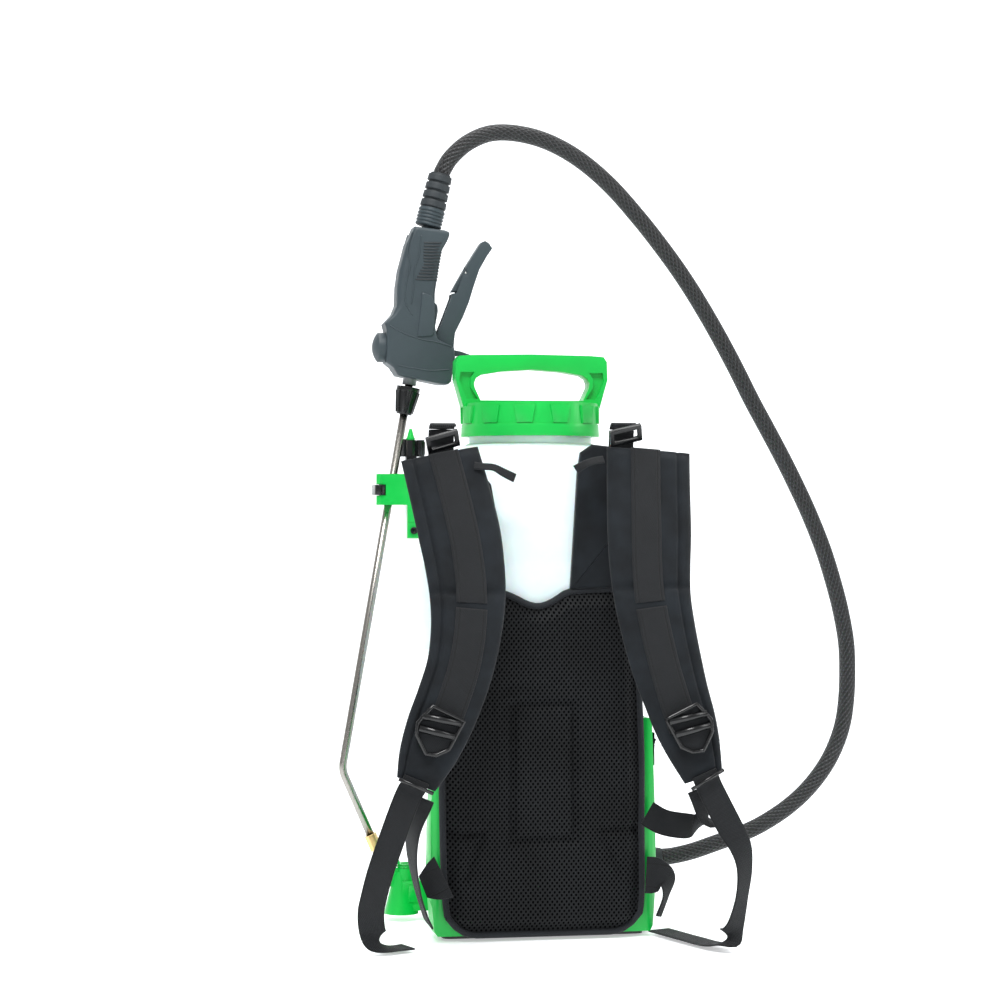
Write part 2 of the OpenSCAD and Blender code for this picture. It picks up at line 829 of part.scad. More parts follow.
// Outline of the grip and the valve housing, as [x, z]
grip_outline = [[-109, 701], [-78, 697.5], [-73.5, 695.5], [-73.5, 692.5], [-76, 686],
    [-81, 677.5], [-84, 660], [-88, 634], [-88.5, 630], [-88.5, 600], [-88.5, 586],
    [-69, 578.5], [-67.8, 569], [-72, 544], [-75, 541.2], [-82, 541.2], [-126.5, 550],
    [-131.5, 558], [-136, 562], [-138, 563], [-138, 596], [-139.8, 602.5],
    [-131, 612], [-127.5, 621], [-127, 640], [-124.5, 657], [-117.5, 683]];
// Guard block between grip and lever
guard_outline = [[-106, 633], [-92, 629.5], [-84.5, 622], [-84, 616], [-88.6, 589.5], [-106, 589.5]];
hang_hook = [[-70.8, 577.5], [-60, 575.5], [-49.4, 571.8], [-49.4, 569.8], [-61, 570.6], [-70.8, 570.6]];

module lever_slot() {
    in_plane(wand_y, 18.8)
        polygon([[-91, 600], [-91, 566], [-70.8, 566], [-70.8, 578.6], [-60, 578.6], [-60, 600]]);
}

module handle_halves() {
    wall = 3;
    difference() {
        union() {
            in_plane(wand_y, grip_t) polygon(grip_outline);
            in_plane(wand_y, 11) polygon(guard_outline);
            in_plane(wand_y, 5) polygon(hang_hook);
        }
        // room for the valve block and the pipe up the grip
        in_plane(wand_y, grip_t - 2 * wall)
            polygon([[-134, 566], [-134, 596], [-92, 592], [-72, 575], [-72, 552], [-80, 547],
                [-122, 554]]);
        up_relief(-116) cylinder(h = 146, r = 6.1);
        lever_slot();
        x_rod(-145, -130, wand_y, 579, 10 + fit);
        lance_run(535, 560, 7.2);
        y_rod(lever_pivot, wand_y - grip_t / 2 + wall, wand_y + 20, 2 + fit);
        for (p = shell_screw_at) {
            y_rod(p, wand_y - grip_t / 2 + wall, wand_y + 20, 1.6);
            y_rod(p, wand_y + grip_t / 2 - 2.5, wand_y + 20, 3.1);
        }
        // recess for the grip insert
        in_plane(wand_y, grip_t + 2)
            polygon(insert_outline);
    }
}

shell_screw_at = [[-125.5, 606], [-117, 640], [-107, 694], [-128, 557.6]];
insert_outline = [[-92.6, 684], [-79.8, 682.4], [-84.7, 654], [-87.6, 636], [-101, 640], [-96, 655]];

module handle_shell_near() {
    color([0.2, 0.26, 0.28])
        intersection() {
            handle_halves();
            box([-200, wand_y - 40, 500], [0, wand_y, 760]);
        }
}

module handle_shell_far() {
    color([0.2, 0.26, 0.28])
        intersection() {
            handle_halves();
            box([-200, wand_y, 500], [0, wand_y + 40, 760]);
        }
}

module handle_screws() {
    color("silver")
        for (p = shell_screw_at) {
            y_rod(p, wand_y + grip_t / 2 - 2.5, wand_y + grip_t / 2 - 0.3, 3);
            y_rod(p, wand_y - grip_t / 2 + 4, wand_y + grip_t / 2 - 2, 1.5);
        }
}

module grip_insert() {
    ribs = [for (i = [0:8]) 641 + 4.6 * i];
    color([0.15, 0.19, 0.2])
        difference() {
            in_plane(wand_y, grip_t + 1) offset(delta = -0.15) polygon(insert_outline);
            up_relief(-110) cylinder(h = 140, r = 6.1);
            for (z = ribs, s = [-1, 1])
                translate([-105, wand_y + s * (grip_t / 2 + 0.5) - 0.8, z]) cube([30, 1.6, 1.6]);
        }
}

module valve_block() {
    color([0.5, 0.5, 0.5])
        difference() {
            union() {
                box([-131, wand_y - 12, 566.5], [-94, wand_y + 12, 591]);
                lance_run(541, 567, 7);
                up_relief(-117) cylinder(h = 104, r = 5.5);
            }
            up_relief(-106) cylinder(h = 99, r = 3);
            up_relief(-118) cylinder(h = 18, r = 2);
            x_rod(-132, -100, wand_y, valve_z, 5.5);
            x_rod(-101, -93, wand_y, valve_z, 2.5 + fit);
            lance_run(540, 552.5, lance_d / 2 + fit);
            lance_run(552, 580, 2.5);
        }
}

module valve_plug() {
    color([0.17, 0.22, 0.24])
        union() {
            x_rod(-144.4, -131.2, wand_y, 579, 10);
            intersection() {
                x_rod(-152, -138.1, wand_y, 578.6, 15);
                translate([-128, wand_y, 578.6]) sphere(r = 23);
            }
        }
}

module valve_spindle() {
    color("silver")
        union() {
            x_rod(-104, -84.6, wand_y, valve_z, 2.5);
            x_rod(-106, -103, wand_y, valve_z, 4.6);
        }
}

// Return spring, drawn at its length with the trigger pulled
module valve_spring() {
    turns = 5;
    steps = 12;
    wire = 0.5;
    coil_r = 3.6;
    length = 19;
    n = turns * steps;
    path = [for (i = [0:n])
        [-130.6 + length * i / n, wand_y + coil_r * cos(360 * i / steps),
            valve_z + coil_r * sin(360 * i / steps)]];
    rings = [for (i = [0:n])
        let (t = tangent(path, i),
            out = unit([0, path[i][1] - wand_y, path[i][2] - valve_z]),
            w = cross(out, t))
        for (j = [0:3])
            path[i] + wire * (cos(90 * j) * out + sin(90 * j) * w)];
    color("silver")
        polyhedron(rings, tube_faces(n + 1, 4));
}

// Lever outline, as [x, z]
lever_outline = [[-84.4, 586.5], [-86.5, 590.5], [-80, 606], [-71.2, 629], [-70.5, 633.6],
    [-65.5, 634.6], [-60.5, 648], [-57.8, 657], [-54.5, 663], [-47, 675], [-39.5, 686.5], [-36, 688],
    [-32, 685.5], [-28.6, 680.5], [-35, 671], [-42, 658.5], [-48, 641], [-52.5, 626],
    [-59, 610], [-66.8, 594.5], [-68, 586], [-68.4, 579]];

module trigger_lever() {
    color([0.2, 0.26, 0.28])
        difference() {
            union() {
                in_plane(wand_y, 17.4) polygon(lever_outline);
                y_rod(lever_pivot, wand_y - 8.7, wand_y + 8.7, 4.9);
                in_plane(wand_y, 17.4)
                    polygon([[-84.4, 586.5], [-68.4, 586], [-69, 580], [-73, 577.4], [-80.4, 575.6]]);
            }
            in_plane(wand_y, 12.4) polygon([[-95, 592], [-95, 640], [-70, 640], [-70, 633.6],
                [-66, 630], [-74, 608], [-78, 592]]);
            in_plane(wand_y, 12)
                polygon([[-75, 634.4], [-63, 634.4], [-57, 643], [-52.4, 651], [-52.4, 659], [-56, 662],
                    [-72, 662]]);
            y_rod(lever_pivot, wand_y - 20, wand_y + 20, 2 + fit);
            y_rod(lock_pivot, wand_y - 20, wand_y + 20, 1.2 + fit);
        }
}

module lever_pin() {
    color("silver")
        y_rod(lever_pivot, wand_y - grip_t / 2 + 3.2, wand_y + grip_t / 2 - 0.5, 2);
}

module trigger_lock() {
    color([0.13, 0.16, 0.17])
        difference() {
            union() {
                in_plane(wand_y, 11.2)
                    polygon([[-70.6, 635.5], [-64.5, 636.2], [-57.5, 648], [-53.6, 655], [-56, 657.6],
                        [-58.4, 657]]);
                y_rod(lock_pivot, wand_y - 5.6, wand_y + 5.6, 2.6);
            }
            y_rod(lock_pivot, wand_y - 20, wand_y + 20, 1.2 + fit);
        }
}

module lock_pin() {
    color("silver")
        y_rod(lock_pivot, wand_y - 8.5, wand_y + 8.5, 1.2);
}

// Places a shape at a height s up the hose end of the handle
module up_relief(s) {
    translate([relief_foot[0], wand_y, relief_foot[1]])
        rotate([0, relief_lean, 0])
            translate([0, 0, s])
                children();
}

relief_length = 56;

module hose_nut() {
    color([0.17, 0.2, 0.22])
        difference() {
            union() {
                up_relief(0.6) cylinder(h = 19, r = 12.6);
                for (i = [0:4])
                    up_relief(1.4 + 3.6 * i) cylinder(h = 2.2, r = 13.6);
                up_relief(-12) cylinder(h = 13, r = 6);
            }
            up_relief(-13) cylinder(h = 40, r = 3);
        }
}

module hose_relief() {
    color([0.17, 0.2, 0.22])
        difference() {
            union() {
                up_relief(19.6) cylinder(h = relief_length - 19.6, r1 = 11.6, r2 = hose_d / 2 + 1.6);
                for (i = [0:3])
                    up_relief(21 + 9 * i) cylinder(h = 6.2, r1 = 13.4 - 0.35 * i, r2 = 13.4 - 0.35 * (i + 1));
            }
            up_relief(19) cylinder(h = 50, r = 3);
            for (i = [0:2], a = [0:90:270])
                up_relief(28 + 9 * i)
                    rotate([0, 0, a])
                        translate([10.5, -4, 0])
                            cube([6, 8, 1.8]);
        }
}

// ---------------------------------------------------------------- hose

// Centre line of the hose, from the base to the handle
hose_route = [[147, 50, 57], [160, 50, 58], [180, 51, 62], [200, 52, 68], [222, 53, 75],
    [244, 53, 83], [264, 54, 93], [284, 54, 106], [304, 55, 123], [322, 55, 145],
    [335, 56, 168], [343, 56, 192], [347, 57, 218], [348, 57, 246], [347, 58, 276],
    [341, 58, 309], [333, 59, 340], [323, 59, 371], [310, 60, 404], [296, 60, 434],
    [280, 61, 466], [263, 61, 497], [246, 62, 528], [230, 62, 559], [213, 62, 590],
    [195, 63, 621], [175, 63, 652], [153, 63, 682], [127, 63, 714], [96, 64, 748],
    [64, 64, 774], [32, 64, 791], [1, 64, 799], [-28, 64, 799], [-52, 64, 789],
    [-70, 64, 773], [-78.9, 64, 758.6]];

module hose() {
    color([0.2, 0.2, 0.21])
        hose_sweep(hose_route, hose_d / 2, 10);
}

// ---------------------------------------------------------------- harness

pad_back = housing_back - 0.3;
back_outline = [[-80, 1], [-92, 8], [-98, 36], [-101, 110], [-101, 180], [-97, 250],
    [-95, 300], [-96, 334], [-44, 334], [-24, 328], [-7, 323], [8, 328], [24, 336],
    [90, 337], [90, 300], [92, 250], [95, 180], [95, 110], [95, 36], [90, 8], [82, 1]];

module back_pad() {
    color(dark)
        in_plane(pad_back - pad_t / 2, pad_t) polygon(back_outline);
}

yoke_t = 8;
module harness_yoke() {
    y = pad_back - 1 - yoke_t / 2;
    color(dark) {
        in_plane(y, yoke_t)
            polygon([[-96, 335.5], [-44, 335.5], [-47, 380], [-50, 417], [-54, 439], [-62, 449],
                [-66, 462], [-134, 460], [-128, 430], [-116, 380]]);
        in_plane(y, yoke_t)
            polygon([[24, 338], [90, 338.5], [112, 380], [124, 430], [132, 468], [46, 478], [34, 470],
                [31, 450], [28, 400]]);
    }
}

left_pad = [[-106, -95, 468, 76, 0, -1, 0.25], [-99, -109, 434, 78, 0, -1, 0.3],
    [-92, -125, 395, 79, 0, -1, 0.3], [-88, -136, 362, 76, 0, -1, 0.3],
    [-87, -146, 332, 72, 0, -1, 0.2], [-90, -155, 300, 67, 0, -1, 0.2],
    [-97, -163, 268, 63, 0, -1, 0.2], [-108, -169, 238, 62, 0, -1, 0.1],
    [-120, -172, 210, 60, 0, -1, 0], [-131, -174, 184, 52, 0, -1, 0],
    [-140, -174, 161, 38, 0, -1, 0]];
right_pad = [[99, -95, 472, 82, 0, -1, 0.25], [96, -109, 436, 82, 0, -1, 0.3],
    [93, -125, 395, 82, 0, -1, 0.3], [91, -136, 362, 79, 0, -1, 0.3],
    [91, -146, 332, 75, 0, -1, 0.2], [95, -155, 300, 72, 0, -1, 0.2],
    [101, -163, 268, 69, 0, -1, 0.2], [108, -170, 240, 64, 0, -1, 0.1],
    [116, -174, 214, 60, 0, -1, 0], [124, -176, 190, 52, 0, -1, 0],
    [133, -177, 163, 38, 0, -1, 0]];

module shoulder_pad_left() {
    color(dark) ribbon(left_pad, strap_t);
}

module shoulder_pad_right() {
    color(dark) ribbon(right_pad, strap_t);
}

// A ladder-lock buckle in x and z, open at its slots
module ladder_lock(w, h, t) {
    slot = 3.4;
    edge = 4;
    difference() {
        translate([-w / 2, -t / 2, -h / 2]) cube([w, t, h]);
        for (z = [-h / 2 + edge, -slot / 2, h / 2 - edge - slot])
            translate([-w / 2 + edge, -t, z]) cube([w - 2 * edge, 2 * t, slot]);
    }
}

module strap_buckles() {
    color([0.06, 0.06, 0.07]) {
        translate([-118.5, -183.2, 214]) rotate([0, 24, 0]) ladder_lock(40, 46, 8);
        translate([116.5, -186, 213]) rotate([0, -20, 0]) ladder_lock(40, 46, 8);
        translate([-141, -182, 160.5]) rotate([0, 24, 0]) translate([-19, -2, -2]) cube([38, 4, 4]);
        translate([135, -185, 161.5]) rotate([0, -30, 0]) translate([-18, -2, -2]) cube([36, 4, 4]);
    }
}

module load_adjusters() {
    color([0.06, 0.06, 0.07]) {
        translate([-103, -96, 480]) rotate([35, -16, 0]) ladder_lock(32, 18, 4);
        translate([76, -97.5, 486.5]) rotate([35, -14, 0]) ladder_lock(32, 18, 4);
    }
}

module top_webbing() {
    color(dark) {
        ribbon([[-101, -71.2, 440, web_w, 0, -1, 0], [-101, -71.6, 470, web_w, 0, -1, 0],
            [-101, -74, 490, web_w, 0, -0.6, 0.8], [-101, -82, 497, web_w, 0, 0, 1],
            [-101, -88, 495, web_w, 0, -0.5, 0.8]], web_t);
        ribbon([[77, -71.2, 440, web_w, 0, -1, 0], [77, -71.6, 470, web_w, 0, -1, 0],
            [77, -74, 490, web_w, 0, -0.6, 0.8], [77, -82, 498, web_w, 0, 0, 1],
            [77, -88, 497, web_w, 0, -0.5, 0.8]], web_t);
        ribbon([[-74.5, -108, 457, 8, 0, -1, 0.4], [-67, -109, 456, 8, 0, -1, 0.6],
            [-56, -111, 455, 8, 0, -1, 0.6], [-46, -110, 450, 9, 0, -1, 0.4],
            [-35, -107, 445, 9, 0, -1, 0.2]], web_t);
        ribbon([[52, -107, 463, 8, 0, -1, 0.4], [44, -109, 462, 8, 0, -1, 0.6],
            [34, -111, 459, 8, 0, -1, 0.6], [24, -109, 453, 9, 0, -1, 0.3]], web_t);
    }
}

left_tail = [[-143, -177, 159, 25, 0, -1, 0], [-147, -176, 152, 25, 0, -1, 0], [-154, -176, 135, 25, 0, -1, 0],
    [-164, -173, 106, 25, 0, -1, 0], [-172, -167, 80, 25, 0, -1, 0],
    [-177, -158, 56, 25, 0, -1, 0], [-179, -150, 38, 25, -0.1, -1, 0],
    [-176, -142, 19, 25, -0.2, -0.9, 0.3], [-168, -136, 7, 25, -0.1, -0.5, 0.9],
    [-155, -128, 2.2, 25, 0, -0.06, 1], [-140, -121, 1.8, 25, 0, -0.04, 1]];
right_tail = [[135.5, -180.5, 160, 25, 0, -1, 0], [139, -180, 152, 25, 0, -1, 0], [146, -181, 138, 25, 0, -1, 0],
    [156, -183, 118, 25, 0, -1, 0], [167, -184, 98, 23, 0.2, -1, 0],
    [171, -184, 77, 21, 0.6, -1, 0], [169, -183, 52, 21, 0.7, -0.8, 0],
    [163, -181, 24, 23, 0.5, -0.7, 0.4], [156, -176, 9, 25, 0.2, -0.5, 0.8],
    [148, -160, 2.2, 25, 0, -0.06, 1], [134, -122, 1.8, 25, 0, -0.04, 1],
    [122, -86, 1.8, 25, 0, -0.04, 1], [116, -68, 1.8, 25, 0, -0.04, 1]];

module tail_webbing_left() {
    color(dark) ribbon(left_tail, web_t);
}

module tail_webbing_right() {
    color(dark) ribbon(right_tail, web_t);
}

module lower_webbing() {
    color(dark) {
        ribbon([[-134, -169, 148, 25, -0.3, -0.9, 0], [-140, -154, 120, 25, -0.8, -0.5, 0],
            [-138, -132, 88, 25, -0.9, -0.3, 0], [-130, -112, 55, 25, -0.9, -0.3, 0.2],
            [-122, -100, 32, 25, -0.9, -0.3, 0.3], [-116, -94, 18, 22, -0.9, -0.3, 0.3]], web_t);
        ribbon([[98, -94, 120, 25, -0.2, -1, 0], [112, -101, 112, 25, -0.3, -1, 0.1],
            [127, -116, 110, 25, -0.3, -0.9, 0.2], [139, -136, 112, 25, 0, -0.8, 0.5],
            [142, -156, 121, 25, 0.1, -0.7, 0.7], [137, -168, 137, 25, 0, -0.9, 0.3],
            [131, -170, 152, 25, 0, -1, 0]], web_t);
        ribbon([[97, -93.5, 60, 36, 0, -1, 0], [108, -95, 59, 34, 0.1, -1, 0],
            [118, -94, 54, 22, 0.4, -0.9, 0], [117, -92, 38, 14, 0.8, -0.6, 0],
            [110, -91, 19, 12, 0.8, -0.6, 0]], web_t);
        ribbon([[-101.5, -93.5, 63, 44, 0, -1, 0], [-112, -95, 58, 36, -0.1, -1, 0],
            [-122, -94, 54, 22, -0.3, -0.9, 0]], web_t);
    }
}

tank();
filler_cap();
cap_seal();
breather_valve();
strainer_basket();
base_housing();
bottom_cover();
rubber_feet();
cover_screws();
battery_pack();
battery_door();
control_board();
pump_motor();
pump_head();
drive_cam();
tank_outlet();
suction_tube();
delivery_tube();
outlet_fitting();
outlet_relief();
switch_bezel();
power_rocker();
charge_socket();
charge_flap();
nozzle_holster();
lance_bracket();
bracket_latch();
latch_pin();
bracket_screws();
spare_nozzle_holder();
spare_nozzle_tips();
handle_shell_near();
handle_shell_far();
handle_screws();
grip_insert();
valve_block();
valve_plug();
valve_spindle();
valve_spring();
trigger_lever();
lever_pin();
trigger_lock();
lock_pin();
hose_nut();
hose_relief();
collar_nut();
lance_tube();
nozzle_body();
nozzle_tip();
hose();
back_pad();
harness_yoke();
shoulder_pad_left();
shoulder_pad_right();
strap_buckles();
load_adjusters();
top_webbing();
tail_webbing_left();
tail_webbing_right();
lower_webbing();
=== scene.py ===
import math

import bpy
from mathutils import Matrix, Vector, noise


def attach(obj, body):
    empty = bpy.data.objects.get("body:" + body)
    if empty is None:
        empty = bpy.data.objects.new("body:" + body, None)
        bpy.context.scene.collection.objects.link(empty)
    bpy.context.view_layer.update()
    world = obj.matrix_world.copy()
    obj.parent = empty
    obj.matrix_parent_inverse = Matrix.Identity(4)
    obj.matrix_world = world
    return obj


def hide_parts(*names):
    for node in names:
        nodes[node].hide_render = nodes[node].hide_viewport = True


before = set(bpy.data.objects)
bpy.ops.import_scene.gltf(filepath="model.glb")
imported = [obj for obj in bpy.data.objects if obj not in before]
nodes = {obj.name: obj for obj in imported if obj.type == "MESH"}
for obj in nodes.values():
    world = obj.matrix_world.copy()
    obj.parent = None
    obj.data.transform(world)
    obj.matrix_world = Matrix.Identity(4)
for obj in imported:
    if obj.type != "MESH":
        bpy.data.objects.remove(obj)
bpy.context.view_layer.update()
MM = 0.001
THREAD_PITCH = 0.9


# ---------------------------------------------------------------- camera
camera_data = bpy.data.cameras.new("camera")
camera = bpy.data.objects.new("camera", camera_data)
bpy.context.scene.collection.objects.link(camera)
camera.location = (-0.4810, -2.5553, 0.424)
camera.rotation_euler = (math.radians(90), 0, math.radians(-10))
camera_data.sensor_width = 36
camera_data.lens = 93.6
camera_data.clip_end = 50
bpy.context.scene.camera = camera


# ---------------------------------------------------------------- shader helpers
class Graph:
    """A material's node tree with short names for what this scene uses."""

    def __init__(self, name):
        self.material = bpy.data.materials.new(name)
        self.material.use_nodes = True
        self.tree = self.material.node_tree
        self.bsdf = self.tree.nodes["Principled BSDF"]

    def link(self, source, socket):
        if isinstance(source, (int, float, tuple)):
            socket.default_value = source
        else:
            self.tree.links.new(source, socket)

    def coords(self, kind="Object"):
        node = self.tree.nodes.get("coords")
        if node is None:
            node = self.tree.nodes.new("ShaderNodeTexCoord")
            node.name = "coords"
        return node.outputs[kind]

    def split(self, vector):
        node = self.tree.nodes.new("ShaderNodeSeparateXYZ")
        self.link(vector, node.inputs[0])
        return node.outputs

    def math(self, operation, a, b=0.0, c=0.0):
        node = self.tree.nodes.new("ShaderNodeMath")
        node.operation = operation
        self.link(a, node.inputs[0])
        self.link(b, node.inputs[1])
        self.link(c, node.inputs[2])
        return node.outputs[0]

    def smooth(self, value, low, high):
        node = self.tree.nodes.new("ShaderNodeMapRange")
        node.interpolation_type = "SMOOTHSTEP"
        self.link(value, node.inputs["Value"])
        node.inputs["From Min"].default_value = low
        node.inputs["From Max"].default_value = high
        return node.outputs[0]

    def noise(self, vector, scale, detail=3.0, rough=0.5):
        node = self.tree.nodes.new("ShaderNodeTexNoise")
        self.link(vector, node.inputs["Vector"])
        node.inputs["Scale"].default_value = scale
        node.inputs["Detail"].default_value = detail
        node.inputs["Roughness"].default_value = rough
        return node.outputs["Fac"]

    def scaled(self, vector, x, y, z):
        node = self.tree.nodes.new("ShaderNodeVectorMath")
        node.operation = "MULTIPLY"
        self.link(vector, node.inputs[0])
        node.inputs[1].default_value = (x, y, z)
        return node.outputs[0]

    def mix(self, factor, a, b):
        node = self.tree.nodes.new("ShaderNodeMix")
        node.data_type = "RGBA"
        self.link(factor, node.inputs[0])
        self.link(a, node.inputs[6])
        self.link(b, node.inputs[7])
        return node.outputs[2]

    def bump(self, height, strength, distance):
        node = self.tree.nodes.new("ShaderNodeBump")
        self.link(height, node.inputs["Height"])
        node.inputs["Strength"].default_value = strength
        node.inputs["Distance"].default_value = distance
        self.tree.links.new(node.outputs[0], self.bsdf.inputs["Normal"])

    def set(self, **values):
        for key, value in values.items():
            name = key.replace("_", " ").title().replace("Ior", "IOR")
            self.link(value, self.bsdf.inputs[name])
        return self


def rgb(r, g, b):
    return (r, g, b, 1.0)


def plastic(name, colour, dark, roughness, grain=0.35):
    g = Graph(name)
    where = g.coords()
    broad = g.noise(where, 22, 3)
    fine = g.noise(where, 900, 2)
    g.set(base_color=g.mix(g.smooth(broad, 0.35, 0.7), colour, dark),
        roughness=g.math("ADD", roughness - 0.05, g.math("MULTIPLY", broad, 0.1)),
        specular_ior_level=0.5)
    g.bump(fine, grain, 0.0002)
    return g.material


def metal(name, colour, roughness, stretch=(1, 1, 1), scale=400, bump=0.1):
    g = Graph(name)
    where = g.scaled(g.coords(), *stretch)
    lines = g.noise(where, scale, 3)
    g.set(base_color=g.mix(lines, colour, tuple(0.8 * c for c in colour[:3]) + (1.0,)),
        metallic=1.0,
        roughness=g.math("ADD", roughness - 0.06, g.math("MULTIPLY", lines, 0.12)))
    g.bump(lines, bump, 0.0001)
    return g.material


def translucent(name, colour):
    g = Graph(name)
    where = g.coords()
    broad = g.noise(where, 12, 3)
    fine = g.noise(where, 500, 2)
    g.set(base_color=g.mix(broad, colour, tuple(0.97 * c for c in colour[:3]) + (1.0,)),
        roughness=g.math("ADD", 0.3, g.math("MULTIPLY", broad, 0.15)),
        subsurface_weight=0.35, subsurface_scale=0.02)
    g.bump(fine, 0.15, 0.0002)
    return g.material


def cloth(name, colour, light):
    """Plain woven nylon. Its threads follow the piece's UV map, which is in metres."""
    g = Graph(name)
    u, v, _ = g.split(g.coords("UV"))
    turn = 2 * math.pi / (THREAD_PITCH * MM)
    across = g.math("SINE", g.math("MULTIPLY", u, turn))
    along = g.math("SINE", g.math("MULTIPLY", v, turn))
    weave = g.math("MULTIPLY", across, along)
    creases = g.noise(g.coords(), 35, 4)
    height = g.math("ADD", g.math("MULTIPLY", weave, 0.3), g.math("MULTIPLY", creases, 1.6))
    # Painted light and shade: the colour follows the weave and crease height, so raised threads and folds
    # take the light colour and hollows the dark one.
    g.set(base_color=g.mix(g.smooth(g.math("ADD", g.math("MULTIPLY", weave, 0.25), creases), 0.3, 0.8),
            colour, light),
        roughness=0.85, sheen_weight=0.12, sheen_roughness=0.4, specular_ior_level=0.25)
    g.bump(height, 0.5, 0.0006)
    return g.material


def tape(name, colour, light, rib=1.9, pitch=1.4, bump=0.8):
    """Woven webbing: rows of raised stitches on a staggered grid."""
    g = Graph(name)
    u, v, _ = g.split(g.coords("UV"))
    a = g.math("MULTIPLY", u, 2 * math.pi / (rib * MM))
    b = g.math("MULTIPLY", v, 2 * math.pi / (pitch * MM))
    knots = g.math("MULTIPLY", g.math("COSINE", a), g.math("COSINE", b))
    ribs = g.math("COSINE", g.math("MULTIPLY", a, 2))
    height = g.math("ADD", g.math("MULTIPLY", knots, 0.7), g.math("MULTIPLY", ribs, 0.3))
    edge = g.math("ABSOLUTE", u)
    stitch = g.math("SUBTRACT", g.smooth(edge, 0.0104, 0.0110), g.smooth(edge, 0.0114, 0.0120))
    height = g.math("SUBTRACT", height, g.math("MULTIPLY", stitch, 0.9))
    wear = g.noise(g.coords(), 60, 3)
    # Painted shade: the colour follows the height, so knots and ribs are lighter and the low weave and
    # stitch groove darker, mixed with random wear.
    relief_shade_and_wear = g.smooth(g.math("ADD", height, g.math("MULTIPLY", wear, 0.6)), -0.5, 1.3)
    g.set(base_color=g.mix(relief_shade_and_wear, colour, light), roughness=0.75, sheen_weight=0.08,
        specular_ior_level=0.3)
    g.bump(height, bump, 0.0004)
    return g.material


def air_mesh(name):
    """Spacer mesh: round holes in staggered rows, painted darker than the net as painted shade inside
    them.
    """
    g = Graph(name)
    u, v, _ = g.split(g.coords("UV"))
    a = g.math("COSINE", g.math("MULTIPLY", u, 2 * math.pi / (4.7 * MM)))
    b = g.math("COSINE", g.math("MULTIPLY", v, math.pi / (3.0 * MM)))
    lattice = g.math("MULTIPLY", a, b)
    hole = g.smooth(lattice, 0.12, 0.55)
    threads = g.noise(g.coords(), 900, 2)
    broad = g.noise(g.coords(), 14, 3)
    net = g.mix(g.smooth(broad, 0.3, 0.7), rgb(0.0035, 0.0042, 0.0048), rgb(0.007, 0.0082, 0.0095))
    # The holes take a near-black colour: painted shade inside them.
    g.set(base_color=g.mix(hole, net, rgb(0.0012, 0.0014, 0.0016)), roughness=0.7,
        specular_ior_level=g.math("SUBTRACT", 0.25, g.math("MULTIPLY", hole, 0.25)))
    height = g.math("SUBTRACT", g.math("MULTIPLY", threads, 0.12), hole)
    g.bump(height, 1.0, 0.0012)
    return g.material


def braid(name):
    """Braided sleeve: two sets of strands that cross over the hose, with gaps between."""
    g = Graph(name)
    u, v, _ = g.split(g.coords("UV"))
    around = g.math("MULTIPLY", u, 2 * math.pi * 12)
    along = g.math("MULTIPLY", v, 2 * math.pi / (7.4 * MM))
    one = g.math("SINE", g.math("ADD", around, along))
    two = g.math("SINE", g.math("SUBTRACT", around, along))
    strands = g.math("MAXIMUM", one, two)
    over = g.math("MULTIPLY", g.math("SUBTRACT", one, two), 0.5)
    wires = g.math("SINE", g.math("MULTIPLY", g.math("ADD", around, along), 5.0))
    height = g.math("ADD", strands, g.math("MULTIPLY", wires, 0.12))
    # Painted shade and glints: the gaps between strands are near black as painted shade, and one set of
    # strands is lighter than the other as painted glints.
    gap_shade_mask = g.smooth(strands, 0.25, 0.85)
    strand_glint_tint = g.mix(g.smooth(over, -0.3, 0.8), rgb(0.006, 0.0065, 0.007), rgb(0.04, 0.042, 0.046))
    g.set(base_color=g.mix(gap_shade_mask, rgb(0.0012, 0.0012, 0.0013), strand_glint_tint), roughness=0.48,
        specular_ior_level=0.5)
    g.bump(height, 1.0, 0.0006)
    return g.material


GREEN = plastic("green plastic", rgb(0.0, 0.5, 0.06), rgb(0.0, 0.45, 0.055), 0.36, grain=0.12)
GREEN_DARK = plastic("darker green plastic", rgb(0.0, 0.32, 0.05), rgb(0.0, 0.28, 0.045), 0.4, grain=0.12)
HANDLE = plastic("handle plastic", rgb(0.034, 0.05, 0.058), rgb(0.028, 0.042, 0.05), 0.5, grain=0.5)
BLACK = plastic("black plastic", rgb(0.005, 0.0055, 0.006), rgb(0.0035, 0.004, 0.0045), 0.26, grain=0.1)
RUBBER = plastic("soft rubber", rgb(0.02, 0.026, 0.03), rgb(0.016, 0.021, 0.025), 0.6, grain=0.6)
GREY = plastic("valve plastic", rgb(0.25, 0.26, 0.27), rgb(0.22, 0.23, 0.24), 0.45)
BOARD = plastic("board", rgb(0.01, 0.16, 0.05), rgb(0.01, 0.12, 0.04), 0.4)
BATTERY = plastic("battery wrap", rgb(0.02, 0.06, 0.25), rgb(0.015, 0.05, 0.2), 0.3)
STEEL = metal("steel", rgb(0.55, 0.55, 0.54), 0.32)
DARK_STEEL = metal("black steel", rgb(0.03, 0.03, 0.032), 0.4)
STAINLESS = metal("stainless tube", rgb(0.4, 0.38, 0.35), 0.26, stretch=(3, 3, 0.4), scale=260, bump=0.06)
BRASS = metal("brass", rgb(0.8, 0.58, 0.26), 0.3, scale=300)
TANK = translucent("tank plastic", rgb(0.96, 0.97, 0.96))
CLEAR = translucent("clear tube", rgb(0.7, 0.76, 0.8))
CLOTH = cloth("pad cloth", rgb(0.0045, 0.0058, 0.0074), rgb(0.0125, 0.0165, 0.021))
TAPE = tape("webbing", rgb(0.0022, 0.0028, 0.0036), rgb(0.0125, 0.015, 0.0185), bump=1.0)
